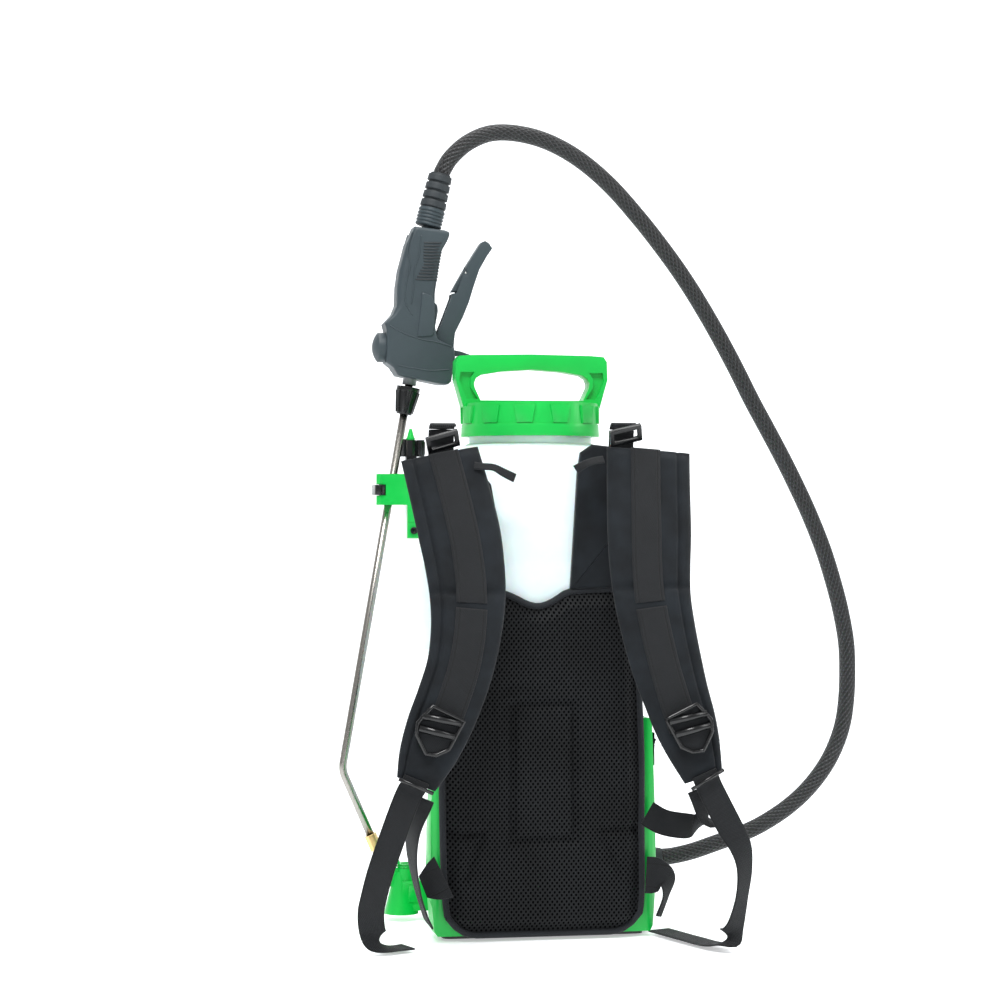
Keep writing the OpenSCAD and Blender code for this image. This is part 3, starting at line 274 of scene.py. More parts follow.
TAPE_SMOOTH = tape("binding tape", rgb(0.008, 0.0095, 0.012), rgb(0.022, 0.026, 0.031), rib=1.1,
    pitch=0.8, bump=0.4)
MESH_CLOTH = air_mesh("air mesh")
BRAID = braid("hose braid")


# ---------------------------------------------------------------- shape helpers
def smooth(a, b, x):
    t = min(1.0, max(0.0, (x - a) / (b - a)))
    return t * t * (3 - 2 * t)


def line_at(table, x):
    """Straight stretches through a table of (x, value)."""
    if x <= table[0][0]:
        return table[0][1]
    for (x0, a), (x1, b) in zip(table, table[1:]):
        if x <= x1:
            t = (x - x0) / (x1 - x0)
            return a + (b - a) * t
    return table[-1][1]


def spline(points, steps):
    """Catmull-Rom curve through points of any number of values."""
    out = []
    last = len(points) - 1
    for i in range(last):
        a, b, c, d = (points[max(i - 1, 0)], points[i], points[i + 1], points[min(i + 2, last)])
        for j in range(steps):
            t = j / steps
            out.append([0.5 * (2 * q + (r - p) * t + (2 * p - 5 * q + 4 * r - s) * t * t
                + (3 * q - p - 3 * r + s) * t ** 3) for p, q, r, s in zip(a, b, c, d)])
    out.append(list(points[-1]))
    return out


def make(name, verts, faces, material, uvs=None, sharp=None):
    """A mesh object in metres, from points in millimetres. uvs has one pair per vertex."""
    mesh = bpy.data.meshes.new(name)
    mesh.from_pydata([tuple(c * MM for c in v) for v in verts], [], faces)
    mesh.materials.append(material)
    mesh.polygons.foreach_set("use_smooth", [True] * len(mesh.polygons))
    if uvs:
        layer = mesh.uv_layers.new(name="UVMap")
        for loop in mesh.loops:
            layer.data[loop.index].uv = uvs[loop.vertex_index]
    mesh.update()
    if sharp:
        mesh.set_sharp_from_angle(angle=math.radians(sharp))
    piece = bpy.data.objects.new(name, mesh)
    bpy.context.scene.collection.objects.link(piece)
    return piece


def rides(piece, body="sprayer", stands_for=()):
    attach(piece, body)
    if stands_for:
        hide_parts(*stands_for)
    return piece


def frames(points):
    """Each point with its unit tangent and its distance along."""
    p = [Vector(q[:3]) for q in points]
    run, out = 0.0, []
    for i in range(len(p)):
        if i:
            run += (p[i] - p[i - 1]).length
        tangent = (p[min(i + 1, len(p) - 1)] - p[max(i - 1, 0)]).normalized()
        out.append((p[i], tangent, run))
    return out


def tube_mesh(points, radius, sides=16, capped=True):
    """Verts, faces and UVs of a round tube. The UVs are one turn around, and metres along."""
    verts, uvs, faces = [], [], []
    track = frames(points)
    for p, t, s in track:
        side = t.cross(Vector((0, 1, 0.02))).normalized()
        up = side.cross(t)
        for j in range(sides + 1):
            a = 2 * math.pi * j / sides
            verts.append(tuple(p + radius * (math.cos(a) * side + math.sin(a) * up)))
            uvs.append((j / sides, s * MM))
    ring = sides + 1
    for i in range(len(track) - 1):
        for j in range(sides):
            a = i * ring + j
            faces.append((a, a + 1, a + ring + 1, a + ring))
    if capped:
        faces.append(tuple(range(sides))[::-1])
        base = (len(track) - 1) * ring
        faces.append(tuple(base + j for j in range(sides)))
    return verts, faces, uvs


def tube(name, points, radius, material, sides=16, capped=True):
    verts, faces, uvs = tube_mesh(points, radius, sides, capped=capped)
    return make(name, verts, faces, material, uvs)


def loft(name, rows, section, material, steps=6):
    """A strap along rows of [x, y, z, width, nx, ny, nz]. section(v, width) gives the closed
    outline across it, as points (side, out) in millimetres, out towards n."""
    table = spline(rows, steps)
    track = frames(table)
    total = track[-1][2]
    verts, uvs, faces = [], [], []
    count = 0
    for row, (p, t, s) in zip(table, track):
        side = t.cross(Vector(row[4:7])).normalized()
        out = side.cross(t)
        if out.dot(Vector(row[4:7])) < 0:
            out = -out
        outline = section(s / total, row[3])
        count = len(outline)
        for a, h in outline:
            q = p + side * a + out * h
            q.z = max(q.z, 0.3 if h < 0 else 1.9)
            verts.append(q)
            uvs.append((a * MM, s * MM))
    for i in range(len(track) - 1):
        for j in range(count):
            a, b = i * count + j, i * count + (j + 1) % count
            faces.append((a, b, b + count, a + count))
    faces.append(tuple(range(count))[::-1])
    base = (len(track) - 1) * count
    faces.append(tuple(base + j for j in range(count)))
    return make(name, verts, faces, material, uvs)


def tape_section(thick):
    """A flat woven tape with rounded selvedges."""
    def outline(v, width):
        w, h = width / 2, thick / 2
        top = [(-w, 0.0), (-w + 0.5, h * 0.8), (-w + 1.4, h)]
        top += [(-w + 1.4 + (2 * w - 2.8) * i / 6, h) for i in range(1, 7)]
        top += [(w - 0.5, h * 0.8), (w, 0.0), (w - 0.5, -h * 0.8), (w - 1.4, -h)]
        top += [(w - 1.4 - (2 * w - 2.8) * i / 6, -h) for i in range(1, 7)]
        top += [(-w + 0.5, -h * 0.8)]
        return top
    return outline


# ---------------------------------------------------------------- hose
hose_points = [
    (147, 50, 57), (160, 50, 58), (180, 51, 62), (200, 52, 68), (222, 53, 75),
    (244, 53, 83), (264, 54, 93), (284, 54, 106), (304, 55, 123), (322, 55, 145),
    (335, 56, 168), (343, 56, 192), (347, 57, 218), (348, 57, 246), (347, 58, 276),
    (341, 58, 309), (333, 59, 340), (323, 59, 371), (310, 60, 404), (296, 60, 434),
    (280, 61, 466), (263, 61, 497), (246, 62, 528), (230, 62, 559), (213, 62, 590),
    (195, 63, 621), (175, 63, 652), (153, 63, 682), (127, 63, 714), (96, 64, 748),
    (64, 64, 774), (32, 64, 791), (1, 64, 799), (-28, 64, 799), (-52, 64, 789),
    (-70, 64, 773), (-78.9, 64, 758.6)]
hose_line = spline(hose_points, 8)
hose = tube("hose_braid", hose_line + [(-80.2, 64, 754)], 8.5, BRAID, sides=28)
rides(hose, stands_for=["hose"])


# ---------------------------------------------------------------- CAD pieces
FINISH = {
    "tank": TANK, "filler_cap": GREEN, "base_housing": GREEN, "nozzle_holster": GREEN,
    "lance_bracket": GREEN, "spare_nozzle_tips": GREEN, "battery_door": GREEN_DARK,
    "handle_shell_near": HANDLE, "handle_shell_far": HANDLE, "trigger_lever": HANDLE,
    "trigger_lock": HANDLE, "valve_plug": HANDLE, "hose_nut": HANDLE, "hose_relief": RUBBER,
    "grip_insert": RUBBER, "outlet_relief": RUBBER, "cap_seal": RUBBER, "rubber_feet": RUBBER,
    "charge_flap": RUBBER, "lance_tube": STAINLESS, "nozzle_body": BRASS, "nozzle_tip": BRASS,
    "bracket_screws": DARK_STEEL, "valve_block": GREY, "control_board": BOARD,
    "battery_pack": BATTERY, "suction_tube": CLEAR, "delivery_tube": CLEAR,
    "back_pad": CLOTH, "harness_yoke": CLOTH, "shoulder_pad_left": CLOTH,
    "shoulder_pad_right": CLOTH, "top_webbing": TAPE, "tail_webbing_left": TAPE,
    "tail_webbing_right": TAPE, "lower_webbing": TAPE,
}
METALS = ["cover_screws", "handle_screws", "latch_pin", "lever_pin", "lock_pin", "drive_cam",
    "pump_motor", "charge_socket", "valve_spindle", "valve_spring"]
EDGES = {
    "tank": 3.0, "filler_cap": 1.6, "base_housing": 1.6, "nozzle_holster": 1.2, "lance_bracket": 0.9,
    "handle_shell_near": 2.2, "handle_shell_far": 2.2, "trigger_lever": 1.6, "trigger_lock": 0.8,
    "valve_plug": 1.2, "hose_nut": 0.5, "hose_relief": 0.6, "outlet_relief": 0.8, "collar_nut": 0.6,
    "bracket_latch": 0.8, "nozzle_body": 0.4, "nozzle_tip": 0.4, "spare_nozzle_holder": 0.5,
    "bottom_cover": 0.8, "battery_door": 0.5, "switch_bezel": 0.4, "power_rocker": 0.3,
    "charge_flap": 0.4, "harness_yoke": 3.0, "load_adjusters": 0.6, "strap_buckles": 1.2,
    "grip_insert": 0.4, "breather_valve": 0.4, "spare_nozzle_tips": 0.3,
}
for name, piece in nodes.items():
    finish = FINISH.get(name, STEEL if name in METALS else BLACK)
    if not piece.data.materials:
        piece.data.materials.append(finish)
    for place in piece.material_slots:
        place.material = finish
    piece.data.polygons.foreach_set("use_smooth", [True] * len(piece.data.polygons))
    weld = piece.modifiers.new("weld", "WELD")
    weld.merge_threshold = 0.00001
    if name in EDGES:
        bevel = piece.modifiers.new("edges", "BEVEL")
        bevel.width = EDGES[name] * MM
        bevel.segments = 3
        bevel.limit_method = "ANGLE"
        bevel.angle_limit = math.radians(38)
        bevel.harden_normals = True


# ---------------------------------------------------------------- back pad
PAD_LEFT = spline([(0, -82), (8, -92), (36, -98), (110, -101), (180, -101), (250, -97), (300, -95),
    (336, -96)], 6)
PAD_RIGHT = spline([(0, 78), (8, 89), (36, 95), (110, 95), (180, 95), (250, 92), (300, 90),
    (340, 90)], 6)
PAD_TOP = spline([(-96, 333), (-70, 334), (-44, 334), (-30, 329), (-18, 323), (-7, 321), (4, 324),
    (16, 331), (24, 335), (56, 337), (90, 337)], 6)
GROOVES = [(-33, 226, 27, 226, 4.5, 4.5), (27, 226, 28, 95, 3.6, 4.0), (28, 95, -34, 95, 4.5, 4.5),
    (-34, 95, -33, 226, 3.6, 4.0), (-36, 244, 30, 244, 7.0, 2.2), (-96, 103, -64, 103, 4.0, 4.0),
    (56, 103, 92, 103, 4.0, 4.0), (-64, 103, -80, 62, 4.5, 2.6), (56, 103, 74, 62, 4.5, 2.6),
    (-33, 226, -21, 214, 3.0, 1.6), (27, 226, 15, 214, 3.0, 1.6)]


def groove_depth(x, z):
    depth = 0.0
    for x0, z0, x1, z1, width, deep in GROOVES:
        dx, dz = x1 - x0, z1 - z0
        t = min(1.0, max(0.0, ((x - x0) * dx + (z - z0) * dz) / (dx * dx + dz * dz)))
        gap = math.hypot(x - x0 - t * dx, z - z0 - t * dz)
        depth = max(depth, deep * math.exp(-(gap / width) ** 2))
    return depth


def back_pad():
    wide, tall = 96, 170
    back = -78.4
    grid = []
    for j in range(tall + 1):
        v = j / tall
        for i in range(wide + 1):
            u = i / wide
            corner = 26 * (max(0.0, abs(u - 0.5) - 0.36) / 0.14) ** 3
            low = 4.2 + corner * 0.7
            z = 0.0
            x = -90 + 180 * u
            for _ in range(3):
                high = line_at(PAD_TOP, x)
                z = low + (high - low) * v
                x = line_at(PAD_LEFT, z) * (1 - u) + line_at(PAD_RIGHT, z) * u
            side = min(u, 1 - u) * 195
            ends = min(v, 1 - v) * (high - low)
            edge = 4.5 + 8.5 * smooth(3, 17, min(side, ends))
            puff = edge + 1.2 * noise.noise(Vector((x * 0.02, z * 0.02, 3.1))) - groove_depth(x, z)
            grid.append((x, back - min(14.0, max(2.0, puff)), z))
    row = wide + 1
    verts = grid + [(x, back, z) for x, _, z in grid]
    half = len(grid)
    faces = []
    for j in range(tall):
        for i in range(wide):
            a = j * row + i
            faces.append((a, a + 1, a + row + 1, a + row))
            faces.append((half + a + row, half + a + row + 1, half + a + 1, half + a))
    rim = [i for i in range(row)] + [j * row + wide for j in range(1, tall + 1)]
    rim += [tall * row + i for i in range(wide - 1, -1, -1)] + [j * row for j in range(tall - 1, 0, -1)]
    for a, b in zip(rim, rim[1:] + rim[:1]):
        faces.append((b, a, half + a, half + b))
    uvs = [(x * MM, z * MM) for x, _, z in verts]
    pad = make("back_pad_mesh", verts, faces, MESH_CLOTH, uvs)
    rides(pad, stands_for=["back_pad"])
    line = [(verts[a][0], back - 3.6, verts[a][2]) for a in rim[::3]]
    line.append(line[0])
    edge = tube("back_pad_binding", line, 3.3, TAPE_SMOOTH, sides=12, capped=False)
    rides(edge)


back_pad()


# ---------------------------------------------------------------- shoulder pads
LEFT_PAD = [[-106, -95, 468, 76, 0, -1, 0.25], [-99, -109, 434, 78, 0, -1, 0.3],
    [-92, -125, 395, 79, 0, -1, 0.3], [-88, -136, 362, 76, 0, -1, 0.3],
    [-87, -146, 332, 72, 0, -1, 0.2], [-90, -155, 300, 67, 0, -1, 0.2],
    [-97, -163, 268, 63, 0, -1, 0.2], [-108, -169, 238, 62, 0, -1, 0.1],
    [-120, -172, 210, 60, 0, -1, 0], [-131, -174, 184, 52, 0, -1, 0],
    [-140, -174, 161, 38, 0, -1, 0]]
RIGHT_PAD = [[99, -95, 472, 82, 0, -1, 0.25], [96, -109, 436, 82, 0, -1, 0.3],
    [93, -125, 395, 82, 0, -1, 0.3], [91, -136, 362, 79, 0, -1, 0.3],
    [91, -146, 332, 75, 0, -1, 0.2], [95, -155, 300, 72, 0, -1, 0.2],
    [101, -163, 268, 69, 0, -1, 0.2], [108, -170, 240, 64, 0, -1, 0.1],
    [116, -174, 214, 60, 0, -1, 0], [124, -176, 190, 52, 0, -1, 0],
    [133, -177, 163, 38, 0, -1, 0]]


def pad_section(seam_side):
    """A stuffed strap: full in the middle, thin at its edges, with a seam near one edge and a
    tuck across it where the webbing is tacked down."""
    def outline(v, width):
        w = width / 2
        tuck = 1 - 0.6 * math.exp(-((v - 0.43) / 0.012) ** 2)
        ends = min(1.0, 0.35 + 0.65 * smooth(0, 0.03, v)) * min(1.0, 0.3 + 0.7 * smooth(0, 0.04, 1 - v))
        points = []
        n = 40
        for i in range(n + 1):
            a = -1 + 2 * i / n
            round_off = (1 - abs(a) ** 5) ** 0.5
            seam = 3.6 * math.exp(-((a - seam_side) / 0.04) ** 2)
            ripple = 0.7 * noise.noise(Vector((a * 2.2, v * 9, 1.7 * seam_side)))
            h = (5.6 * round_off * tuck - seam + ripple * round_off) * ends
            points.append((a * w, max(0.6, h)))
        for i in range(n, -1, -1):
            a = -1 + 2 * i / n
            round_off = (1 - abs(a) ** 5) ** 0.5
            points.append((a * w, min(-0.6, -4.8 * round_off * tuck * ends)))
        return points
    return outline


def centred(rows, first, last, shift, width, lift):
    """Rows of tape that lie along a pad, shifted to one side and lifted off it."""
    table = spline(rows, 6)
    track = frames(table)
    out = []
    for k, (row, (p, t, s)) in enumerate(zip(table, track)):
        v = k / (len(table) - 1)
        if v < first or v > last:
            continue
        n = Vector(row[4:7]).normalized()
        side = t.cross(n).normalized()
        q = p + side * shift + n * lift
        out.append([q.x, q.y, q.z, width, n.x, n.y, n.z])
    return out[::3] + ([out[-1]] if (len(out) - 1) % 3 else [])


def shoulder(name, rows, seam_side, shift):
    pad = loft(name, rows, pad_section(seam_side), CLOTH, steps=12)
    rides(pad, stands_for=[name.replace("_padded", "")])
    upper = loft(name + "_tape_upper", centred(rows, 0.0, 0.418, shift, 29, 5.9), tape_section(1.4), TAPE)
    lower = loft(name + "_tape_lower", centred(rows, 0.42, 0.83, shift, 30, 5.7), tape_section(1.4), TAPE)
    rides(upper)
    rides(lower)


shoulder("shoulder_pad_left_padded", LEFT_PAD, 0.7, -3.0)
shoulder("shoulder_pad_right_padded", RIGHT_PAD, -0.7, 4.0)


# ---------------------------------------------------------------- webbing
LEFT_TAIL = [[-140, -178.8, 166, 25, 0, -1, 0], [-143, -177, 159, 25, 0, -1, 0],
    [-147, -176, 152, 25, 0, -1, 0], [-154, -176, 135, 25, 0, -1, 0],
    [-164, -173, 106, 25, 0, -1, 0], [-172, -167, 80, 25, 0, -1, 0],
    [-177, -158, 56, 25, 0, -1, 0], [-179, -150, 38, 25, -0.1, -1, 0],
    [-176, -142, 19, 25, -0.2, -0.9, 0.3], [-168, -136, 7, 25, -0.1, -0.5, 0.9],
    [-155, -128, 2.2, 25, 0, -0.06, 1], [-140, -121, 1.8, 25, 0, -0.04, 1]]
RIGHT_TAIL = [[132.5, -181.8, 167, 25, 0, -1, 0], [135.5, -180.5, 160, 25, 0, -1, 0],
    [139, -180, 152, 25, 0, -1, 0], [146, -181, 138, 25, 0, -1, 0],
    [156, -183, 118, 25, 0, -1, 0], [167, -184, 98, 23, 0.2, -1, 0],
    [171, -184, 77, 21, 0.6, -1, 0], [169, -183, 52, 21, 0.7, -0.8, 0],
    [163, -181, 24, 23, 0.5, -0.7, 0.4], [156, -176, 9, 25, 0.2, -0.5, 0.8],
    [148, -160, 2.2, 25, 0, -0.06, 1], [134, -122, 1.8, 25, 0, -0.04, 1],
    [122, -86, 1.8, 25, 0, -0.04, 1], [116, -68, 1.8, 25, 0, -0.04, 1]]
rides(loft("tail_webbing_left_tape", LEFT_TAIL, tape_section(1.8), TAPE, steps=10),
    stands_for=["tail_webbing_left"])
rides(loft("tail_webbing_right_tape", RIGHT_TAIL, tape_section(1.8), TAPE, steps=10),
    stands_for=["tail_webbing_right"])


LOWER = {
    "lower_left_loop": [[-134, -169, 148, 25, -0.3, -0.9, 0], [-140, -154, 120, 25, -0.8, -0.5, 0],
        [-138, -132, 88, 25, -0.9, -0.3, 0], [-130, -112, 55, 25, -0.9, -0.3, 0.2],
        [-122, -100, 32, 25, -0.9, -0.3, 0.3], [-116, -94, 18, 22, -0.9, -0.3, 0.3]],
    "lower_right_loop": [[98, -94, 120, 25, -0.2, -1, 0], [112, -101, 112, 25, -0.3, -1, 0.1],
        [127, -116, 110, 25, -0.3, -0.9, 0.2], [139, -136, 112, 25, 0, -0.8, 0.5],
        [142, -156, 121, 25, 0.1, -0.7, 0.7], [137, -168, 137, 25, 0, -0.9, 0.3],
        [131, -170, 152, 25, 0, -1, 0]],
    "lower_right_wing": [[97, -93.5, 60, 36, 0, -1, 0], [108, -95, 59, 34, 0.1, -1, 0],
        [118, -94, 54, 22, 0.4, -0.9, 0], [117, -92, 38, 14, 0.8, -0.6, 0],
        [110, -91, 19, 12, 0.8, -0.6, 0]],
    "lower_left_wing": [[-101.5, -93.5, 63, 44, 0, -1, 0], [-112, -95, 58, 36, -0.1, -1, 0],
        [-122, -94, 54, 22, -0.3, -0.9, 0]],
}
TOP = {
    "top_left_web": [[-101, -71.2, 440, 25, 0, -1, 0], [-101, -71.6, 470, 25, 0, -1, 0],
        [-101, -74, 490, 25, 0, -0.6, 0.8], [-101, -82, 497, 25, 0, 0, 1],
        [-101, -88, 495, 25, 0, -0.5, 0.8]],
    "top_right_web": [[77, -71.2, 440, 25, 0, -1, 0], [77, -71.6, 470, 25, 0, -1, 0],
        [77, -74, 490, 25, 0, -0.6, 0.8], [77, -82, 498, 25, 0, 0, 1],
        [77, -88, 497, 25, 0, -0.5, 0.8]],
    "top_left_flap": [[-74.5, -108, 457, 8, 0, -1, 0.4], [-67, -109, 456, 8, 0, -1, 0.6],
        [-56, -111, 455, 8, 0, -1, 0.6], [-46, -110, 450, 9, 0, -1, 0.4],
        [-35, -107, 445, 9, 0, -1, 0.2]],
    "top_right_flap": [[52, -107, 463, 8, 0, -1, 0.4], [44, -109, 462, 8, 0, -1, 0.6],
        [34, -111, 459, 8, 0, -1, 0.6], [24, -109, 453, 9, 0, -1, 0.3]],
}
for group, node in ((LOWER, "lower_webbing"), (TOP, "top_webbing")):
    for name, rows in group.items():
        rides(loft(name, rows, tape_section(1.8), TAPE, steps=8), stands_for=[node])


# ---------------------------------------------------------------- moulded plates
def resample(corners, step):
    """Points about step apart around a closed outline, anticlockwise."""
    points = []
    for a, b in zip(corners, corners[1:] + corners[:1]):
        count = max(1, round(math.dist(a, b) / step))
        points += [(a[0] + (b[0] - a[0]) * i / count, a[1] + (b[1] - a[1]) * i / count)
            for i in range(count)]
    if sum(a[0] * b[1] - b[0] * a[1] for a, b in zip(points, points[1:] + points[:1])) < 0:
        points.reverse()
    return points


def inset(loop, steps):
    """A closed loop moved inwards, then evened out so that its corners don't fold over."""
    count = len(loop)
    moved = []
    for i, step in enumerate(steps):
        (x0, z0), (x1, z1) = loop[i - 1], loop[(i + 1) % count]
        length = math.hypot(x1 - x0, z1 - z0) or 1.0
        moved.append((loop[i][0] - step * (z1 - z0) / length, loop[i][1] + step * (x1 - x0) / length))
    return [tuple((a + 2 * b + c) / 4 for a, b, c in zip(moved[i - 1], moved[i], moved[(i + 1) % count]))
        for i in range(count)]


def plate(corners, back, face, radius):
    """Verts and faces of a flat moulding from y = back to y = face, towards -Y. radius(z) is
    how far its front edge is rounded over."""
    loop = resample(corners, 1.6)
    count = len(loop)
    rings = [[(x, back, z) for x, z in loop]]
    rounds = [radius(z) for _, z in loop]
    rings.append([(x, face + r, z) for (x, z), r in zip(loop, rounds)])
    steps = 7 if max(rounds) > 0 else 0
    for k in range(1, steps + 1):
        turn, last = math.pi / 2 * k / steps, math.pi / 2 * (k - 1) / steps
        loop = inset(loop, [r * (math.cos(last) - math.cos(turn)) for r in rounds])
        rings.append([(x, face + r * (1 - math.sin(turn)), z) for (x, z), r in zip(loop, rounds)])
    verts = [v for ring in rings for v in ring]
    faces = []
    for k in range(len(rings) - 1):
        for i in range(count):
            a, b = k * count + i, k * count + (i + 1) % count
            faces.append((a, b, b + count, a + count))
    top = (len(rings) - 1) * count
    faces.append(tuple(range(count))[::-1])
    faces.append(tuple(top + i for i in range(count)))
    return verts, faces


def merged(name, parts, material, mirror_y=None, sharp=None):
    """One object from several (verts, faces), turned over about y = mirror_y if that is given."""
    verts, faces = [], []
    for some, sides in parts:
        base = len(verts)
        verts += some if mirror_y is None else [(x, 2 * mirror_y - y, z) for x, y, z in some]
        faces += [tuple(base + i for i in (f if mirror_y is None else f[::-1])) for f in sides]
    return make(name, verts, faces, material, [(x * MM, z * MM) for x, _, z in verts], sharp=sharp)


# ---------------------------------------------------------------- handle
WAND_Y = 64
GRIP = [(-109, 701), (-78, 697.5), (-73.5, 695.5), (-73.5, 692.5), (-76, 686), (-81, 677.5),
    (-84, 660), (-88, 634), (-88.5, 600), (-86, 587), (-69, 578.5), (-67.8, 569), (-72, 544),
    (-75, 541.2), (-82, 541.2), (-126.5, 550), (-131.5, 558), (-138, 563), (-138, 596),
    (-139.8, 602.5), (-131, 612), (-127.5, 621), (-127, 640), (-124.5, 657), (-117.5, 683)]
# The same outline, cut away for the lever and for the valve behind it
GRIP_CORE = [(-109, 701), (-78, 697.5), (-73.5, 695.5), (-73.5, 692.5), (-76, 686), (-81, 677.5),
    (-84, 660), (-88, 634), (-88.5, 600), (-91, 600), (-91, 592), (-134, 596), (-134, 566),
    (-122, 554), (-80, 547), (-72, 552), (-72, 565), (-68.3, 565), (-72, 544), (-75, 541.2),
    (-82, 541.2), (-126.5, 550), (-131.5, 558), (-138, 563), (-138, 596), (-139.8, 602.5),
    (-131, 612), (-127.5, 621), (-127, 640), (-124.5, 657), (-117.5, 683)]
GUARD = [(-106, 633), (-92, 629.5), (-84.5, 622), (-84, 616), (-86.8, 600), (-91, 600), (-91, 592),
    (-106, 592)]
CHEEK = [(-102, 634), (-93, 631), (-89.5, 625), (-89, 606), (-91, 590), (-107, 589)]
HOOK = [(-70.8, 577.5), (-60, 575.5), (-49.4, 571.8), (-49.4, 569.8), (-61, 570.6), (-70.8, 570.6)]


def grip_round(z):
    return 2.6 + 4.6 * smooth(604, 628, z) * (1 - 0.75 * smooth(668, 690, z))


def handle_half(name, mirror_y):
    parts = [
        plate(GRIP, WAND_Y - 9.4, WAND_Y - 17, grip_round),
        plate(GRIP_CORE, WAND_Y, WAND_Y - 9.4, lambda z: 0),
        plate(GUARD, WAND_Y, WAND_Y - 5.5, lambda z: 1.4),
        plate(HOOK, WAND_Y, WAND_Y - 2.5, lambda z: 0.8),
        plate(CHEEK, WAND_Y - 16, WAND_Y - 18.4, lambda z: 1.0),
    ]
    rides(merged(name + "_moulding", parts, HANDLE, mirror_y, sharp=50), stands_for=[name])


def ridge_parts(lines, radius):
    return [tube_mesh(spline(line, 8), radius, 10)[:2] for line in lines]


def handle_lines(name, mirror_y):
    """Raised lines on the side of the grip, and the step between the grip and the body."""
    y = WAND_Y - 16.9
    lines = [
        [(-112, y, 695), (-117, y, 676), (-114, y, 662), (-118.5, y, 642), (-119, y, 624), (-112, y, 611)],
        [(-103, y, 692), (-105, y, 672), (-110, y, 656), (-110.5, y, 640), (-113, y, 622)],
        [(-135, y, 600), (-119.4, y, 592), (-102.7, y, 586.5), (-88, y, 584), (-72, y, 579.5)],
        [(-126, y, 560), (-112, y, 557.5), (-94, y, 555), (-74, y, 556)],
    ]
    rides(merged(name, ridge_parts(lines, 0.75), HANDLE, mirror_y))


def grip_ribs(name, mirror_y):
    """Rubber ribs across the finger side of the grip, wrapped round its edge."""
    edge = [(646, -86.2), (660, -84), (677.5, -81), (688, -76)]
    lines = []
    for k in range(13):
        z = 647 + 3.1 * k
        right = line_at(edge, z)
        left = -100.5 if z > 662 else -100.5 - 0.55 * (662 - z)
        lines.append([(left, 47.2, z), (right - 9, 46.9, z), (right - 5, 47.6, z), (right - 1.6, 50.4, z),
            (right - 0.1, 54.6, z)])
    return merged(name, ridge_parts(lines, 0.95), RUBBER, mirror_y)


handle_half("handle_shell_near", None)
handle_half("handle_shell_far", WAND_Y)
handle_lines("handle_lines_near", None)
handle_lines("handle_lines_far", WAND_Y)
rides(grip_ribs("grip_ribs_near", None), stands_for=["grip_insert"])
rides(grip_ribs("grip_ribs_far", WAND_Y))


# ---------------------------------------------------------------- buckles
BUCKLE = [(-21.9, 5.7), (7.2, 19.8), (21.2, 5), (22.2, -6.3), (13.9, -24), (3.9, -25.3), (-7.7, -20.3)]


def buckle_parts(x0, z0, y, flip):
    """Frame and cross bars of a ladder-lock buckle, and the webbing seen through it."""
    outline = [(x0 + flip * x, z0 + z) for x, z in BUCKLE]
    loop = [(x, y, z) for x, z in resample(outline, 4)]
    frame_parts = [tube_mesh(loop + loop[:1], 1.9, 10, capped=False)[:2]]
    for start, end, radius in (((-19, 3), (17, 11), 3.4), ((-13, -9), (20, 0), 3.6)):
        bar = [(x0 + flip * x, y, z0 + z) for x, z in (start, end)]
        frame_parts.append(tube_mesh(bar, radius, 14)[:2])
    return frame_parts, plate(outline, y + 3, y + 1, lambda z: 0.4)


left_frame, left_web = buckle_parts(-118.5, 214, -184.5, -1)
right_frame, right_web = buckle_parts(116.5, 213, -187.0, 1)
BARS = [((-157, 167), (-125, 153), -182), ((119.5, 152.5), (150.5, 170.5), -185)]
strap_bars = [tube_mesh([(a[0], y, a[1]), (b[0], y, b[1])], 1.8, 10)[:2] for a, b, y in BARS]
rides(merged("strap_buckle_frames", left_frame + right_frame + strap_bars, BLACK),
    stands_for=["strap_buckles"])
rides(merged("strap_buckle_webbing", [left_web, right_web], TAPE))


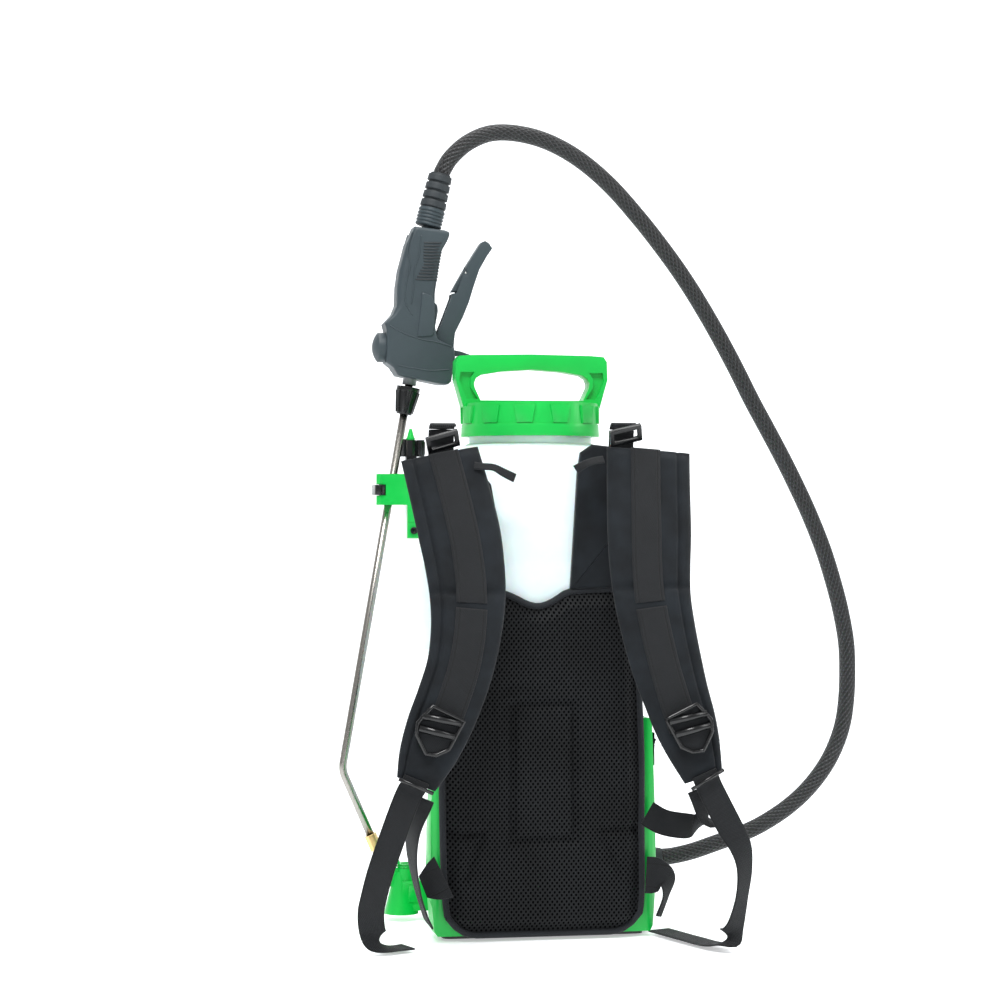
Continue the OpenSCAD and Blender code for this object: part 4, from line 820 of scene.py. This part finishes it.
# ---------------------------------------------------------------- yoke
YOKE_LEFT = [(-96, 335.5), (-44, 335.5), (-47, 380), (-50, 417), (-54, 439), (-62, 449), (-66, 462),
    (-134, 460), (-128, 430), (-116, 380)]
YOKE_RIGHT = [(24, 338), (90, 338.5), (112, 380), (124, 430), (132, 468), (46, 478), (34, 470),
    (31, 450), (28, 400)]
YOKE_BACK = -79.4
yoke = merged("harness_yoke_panels", [plate(YOKE_LEFT, YOKE_BACK, YOKE_BACK - 8, lambda z: 3.2),
    plate(YOKE_RIGHT, YOKE_BACK, YOKE_BACK - 8, lambda z: 3.2)], CLOTH)
rides(yoke, stands_for=["harness_yoke"])


# ---------------------------------------------------------------- studio
def studio():
    scene = bpy.context.scene
    scene.view_settings.view_transform = "Standard"
    scene.view_settings.look = "None"
    world = bpy.data.worlds.new("white")
    world.use_nodes = True
    world.node_tree.nodes["Background"].inputs[0].default_value = (0.99, 0.995, 1.0, 1)
    world.node_tree.nodes["Background"].inputs[1].default_value = 0.5
    scene.world = world
    g = Graph("floor")
    broad = g.noise(g.coords(), 3, 2)
    g.set(base_color=g.mix(broad, rgb(0.93, 0.95, 0.97), rgb(0.91, 0.935, 0.955)), roughness=0.4,
        specular_ior_level=0.3, emission_color=rgb(0.99, 0.995, 1.0), emission_strength=0.42)
    curve = [(-4000, 0), (1200, 0), (1700, 30), (2100, 160), (2400, 420), (2550, 800), (2600, 4000)]
    verts = [(x, y, z) for y, z, *_ in spline([list(q) for q in curve], 8) for x in (-4500, 4500)]
    faces = [(i, i + 1, i + 3, i + 2) for i in range(0, len(verts) - 2, 2)]
    floor = make("floor", verts, faces, g.material)

    def lamp(name, place, target, size, power, colour=(1, 1, 1)):
        data = bpy.data.lights.new(name, "AREA")
        data.shape = "RECTANGLE"
        data.size, data.size_y = size
        data.energy = power
        data.color = colour
        light = bpy.data.objects.new(name, data)
        light.location = place
        light.rotation_euler = (Vector(target) - Vector(place)).to_track_quat("-Z", "Y").to_euler()
        scene.collection.objects.link(light)

    lamp("key", (-0.5, -1.15, 2.3), (0, 0, 0.5), (1.1, 0.8), 50)
    lamp("side", (2.1, -0.5, 1.5), (0, 0, 0.4), (0.6, 1.4), 14)
    lamp("top", (0.1, 0.5, 2.4), (0, 0, 0.3), (1.6, 1.6), 26)


studio()
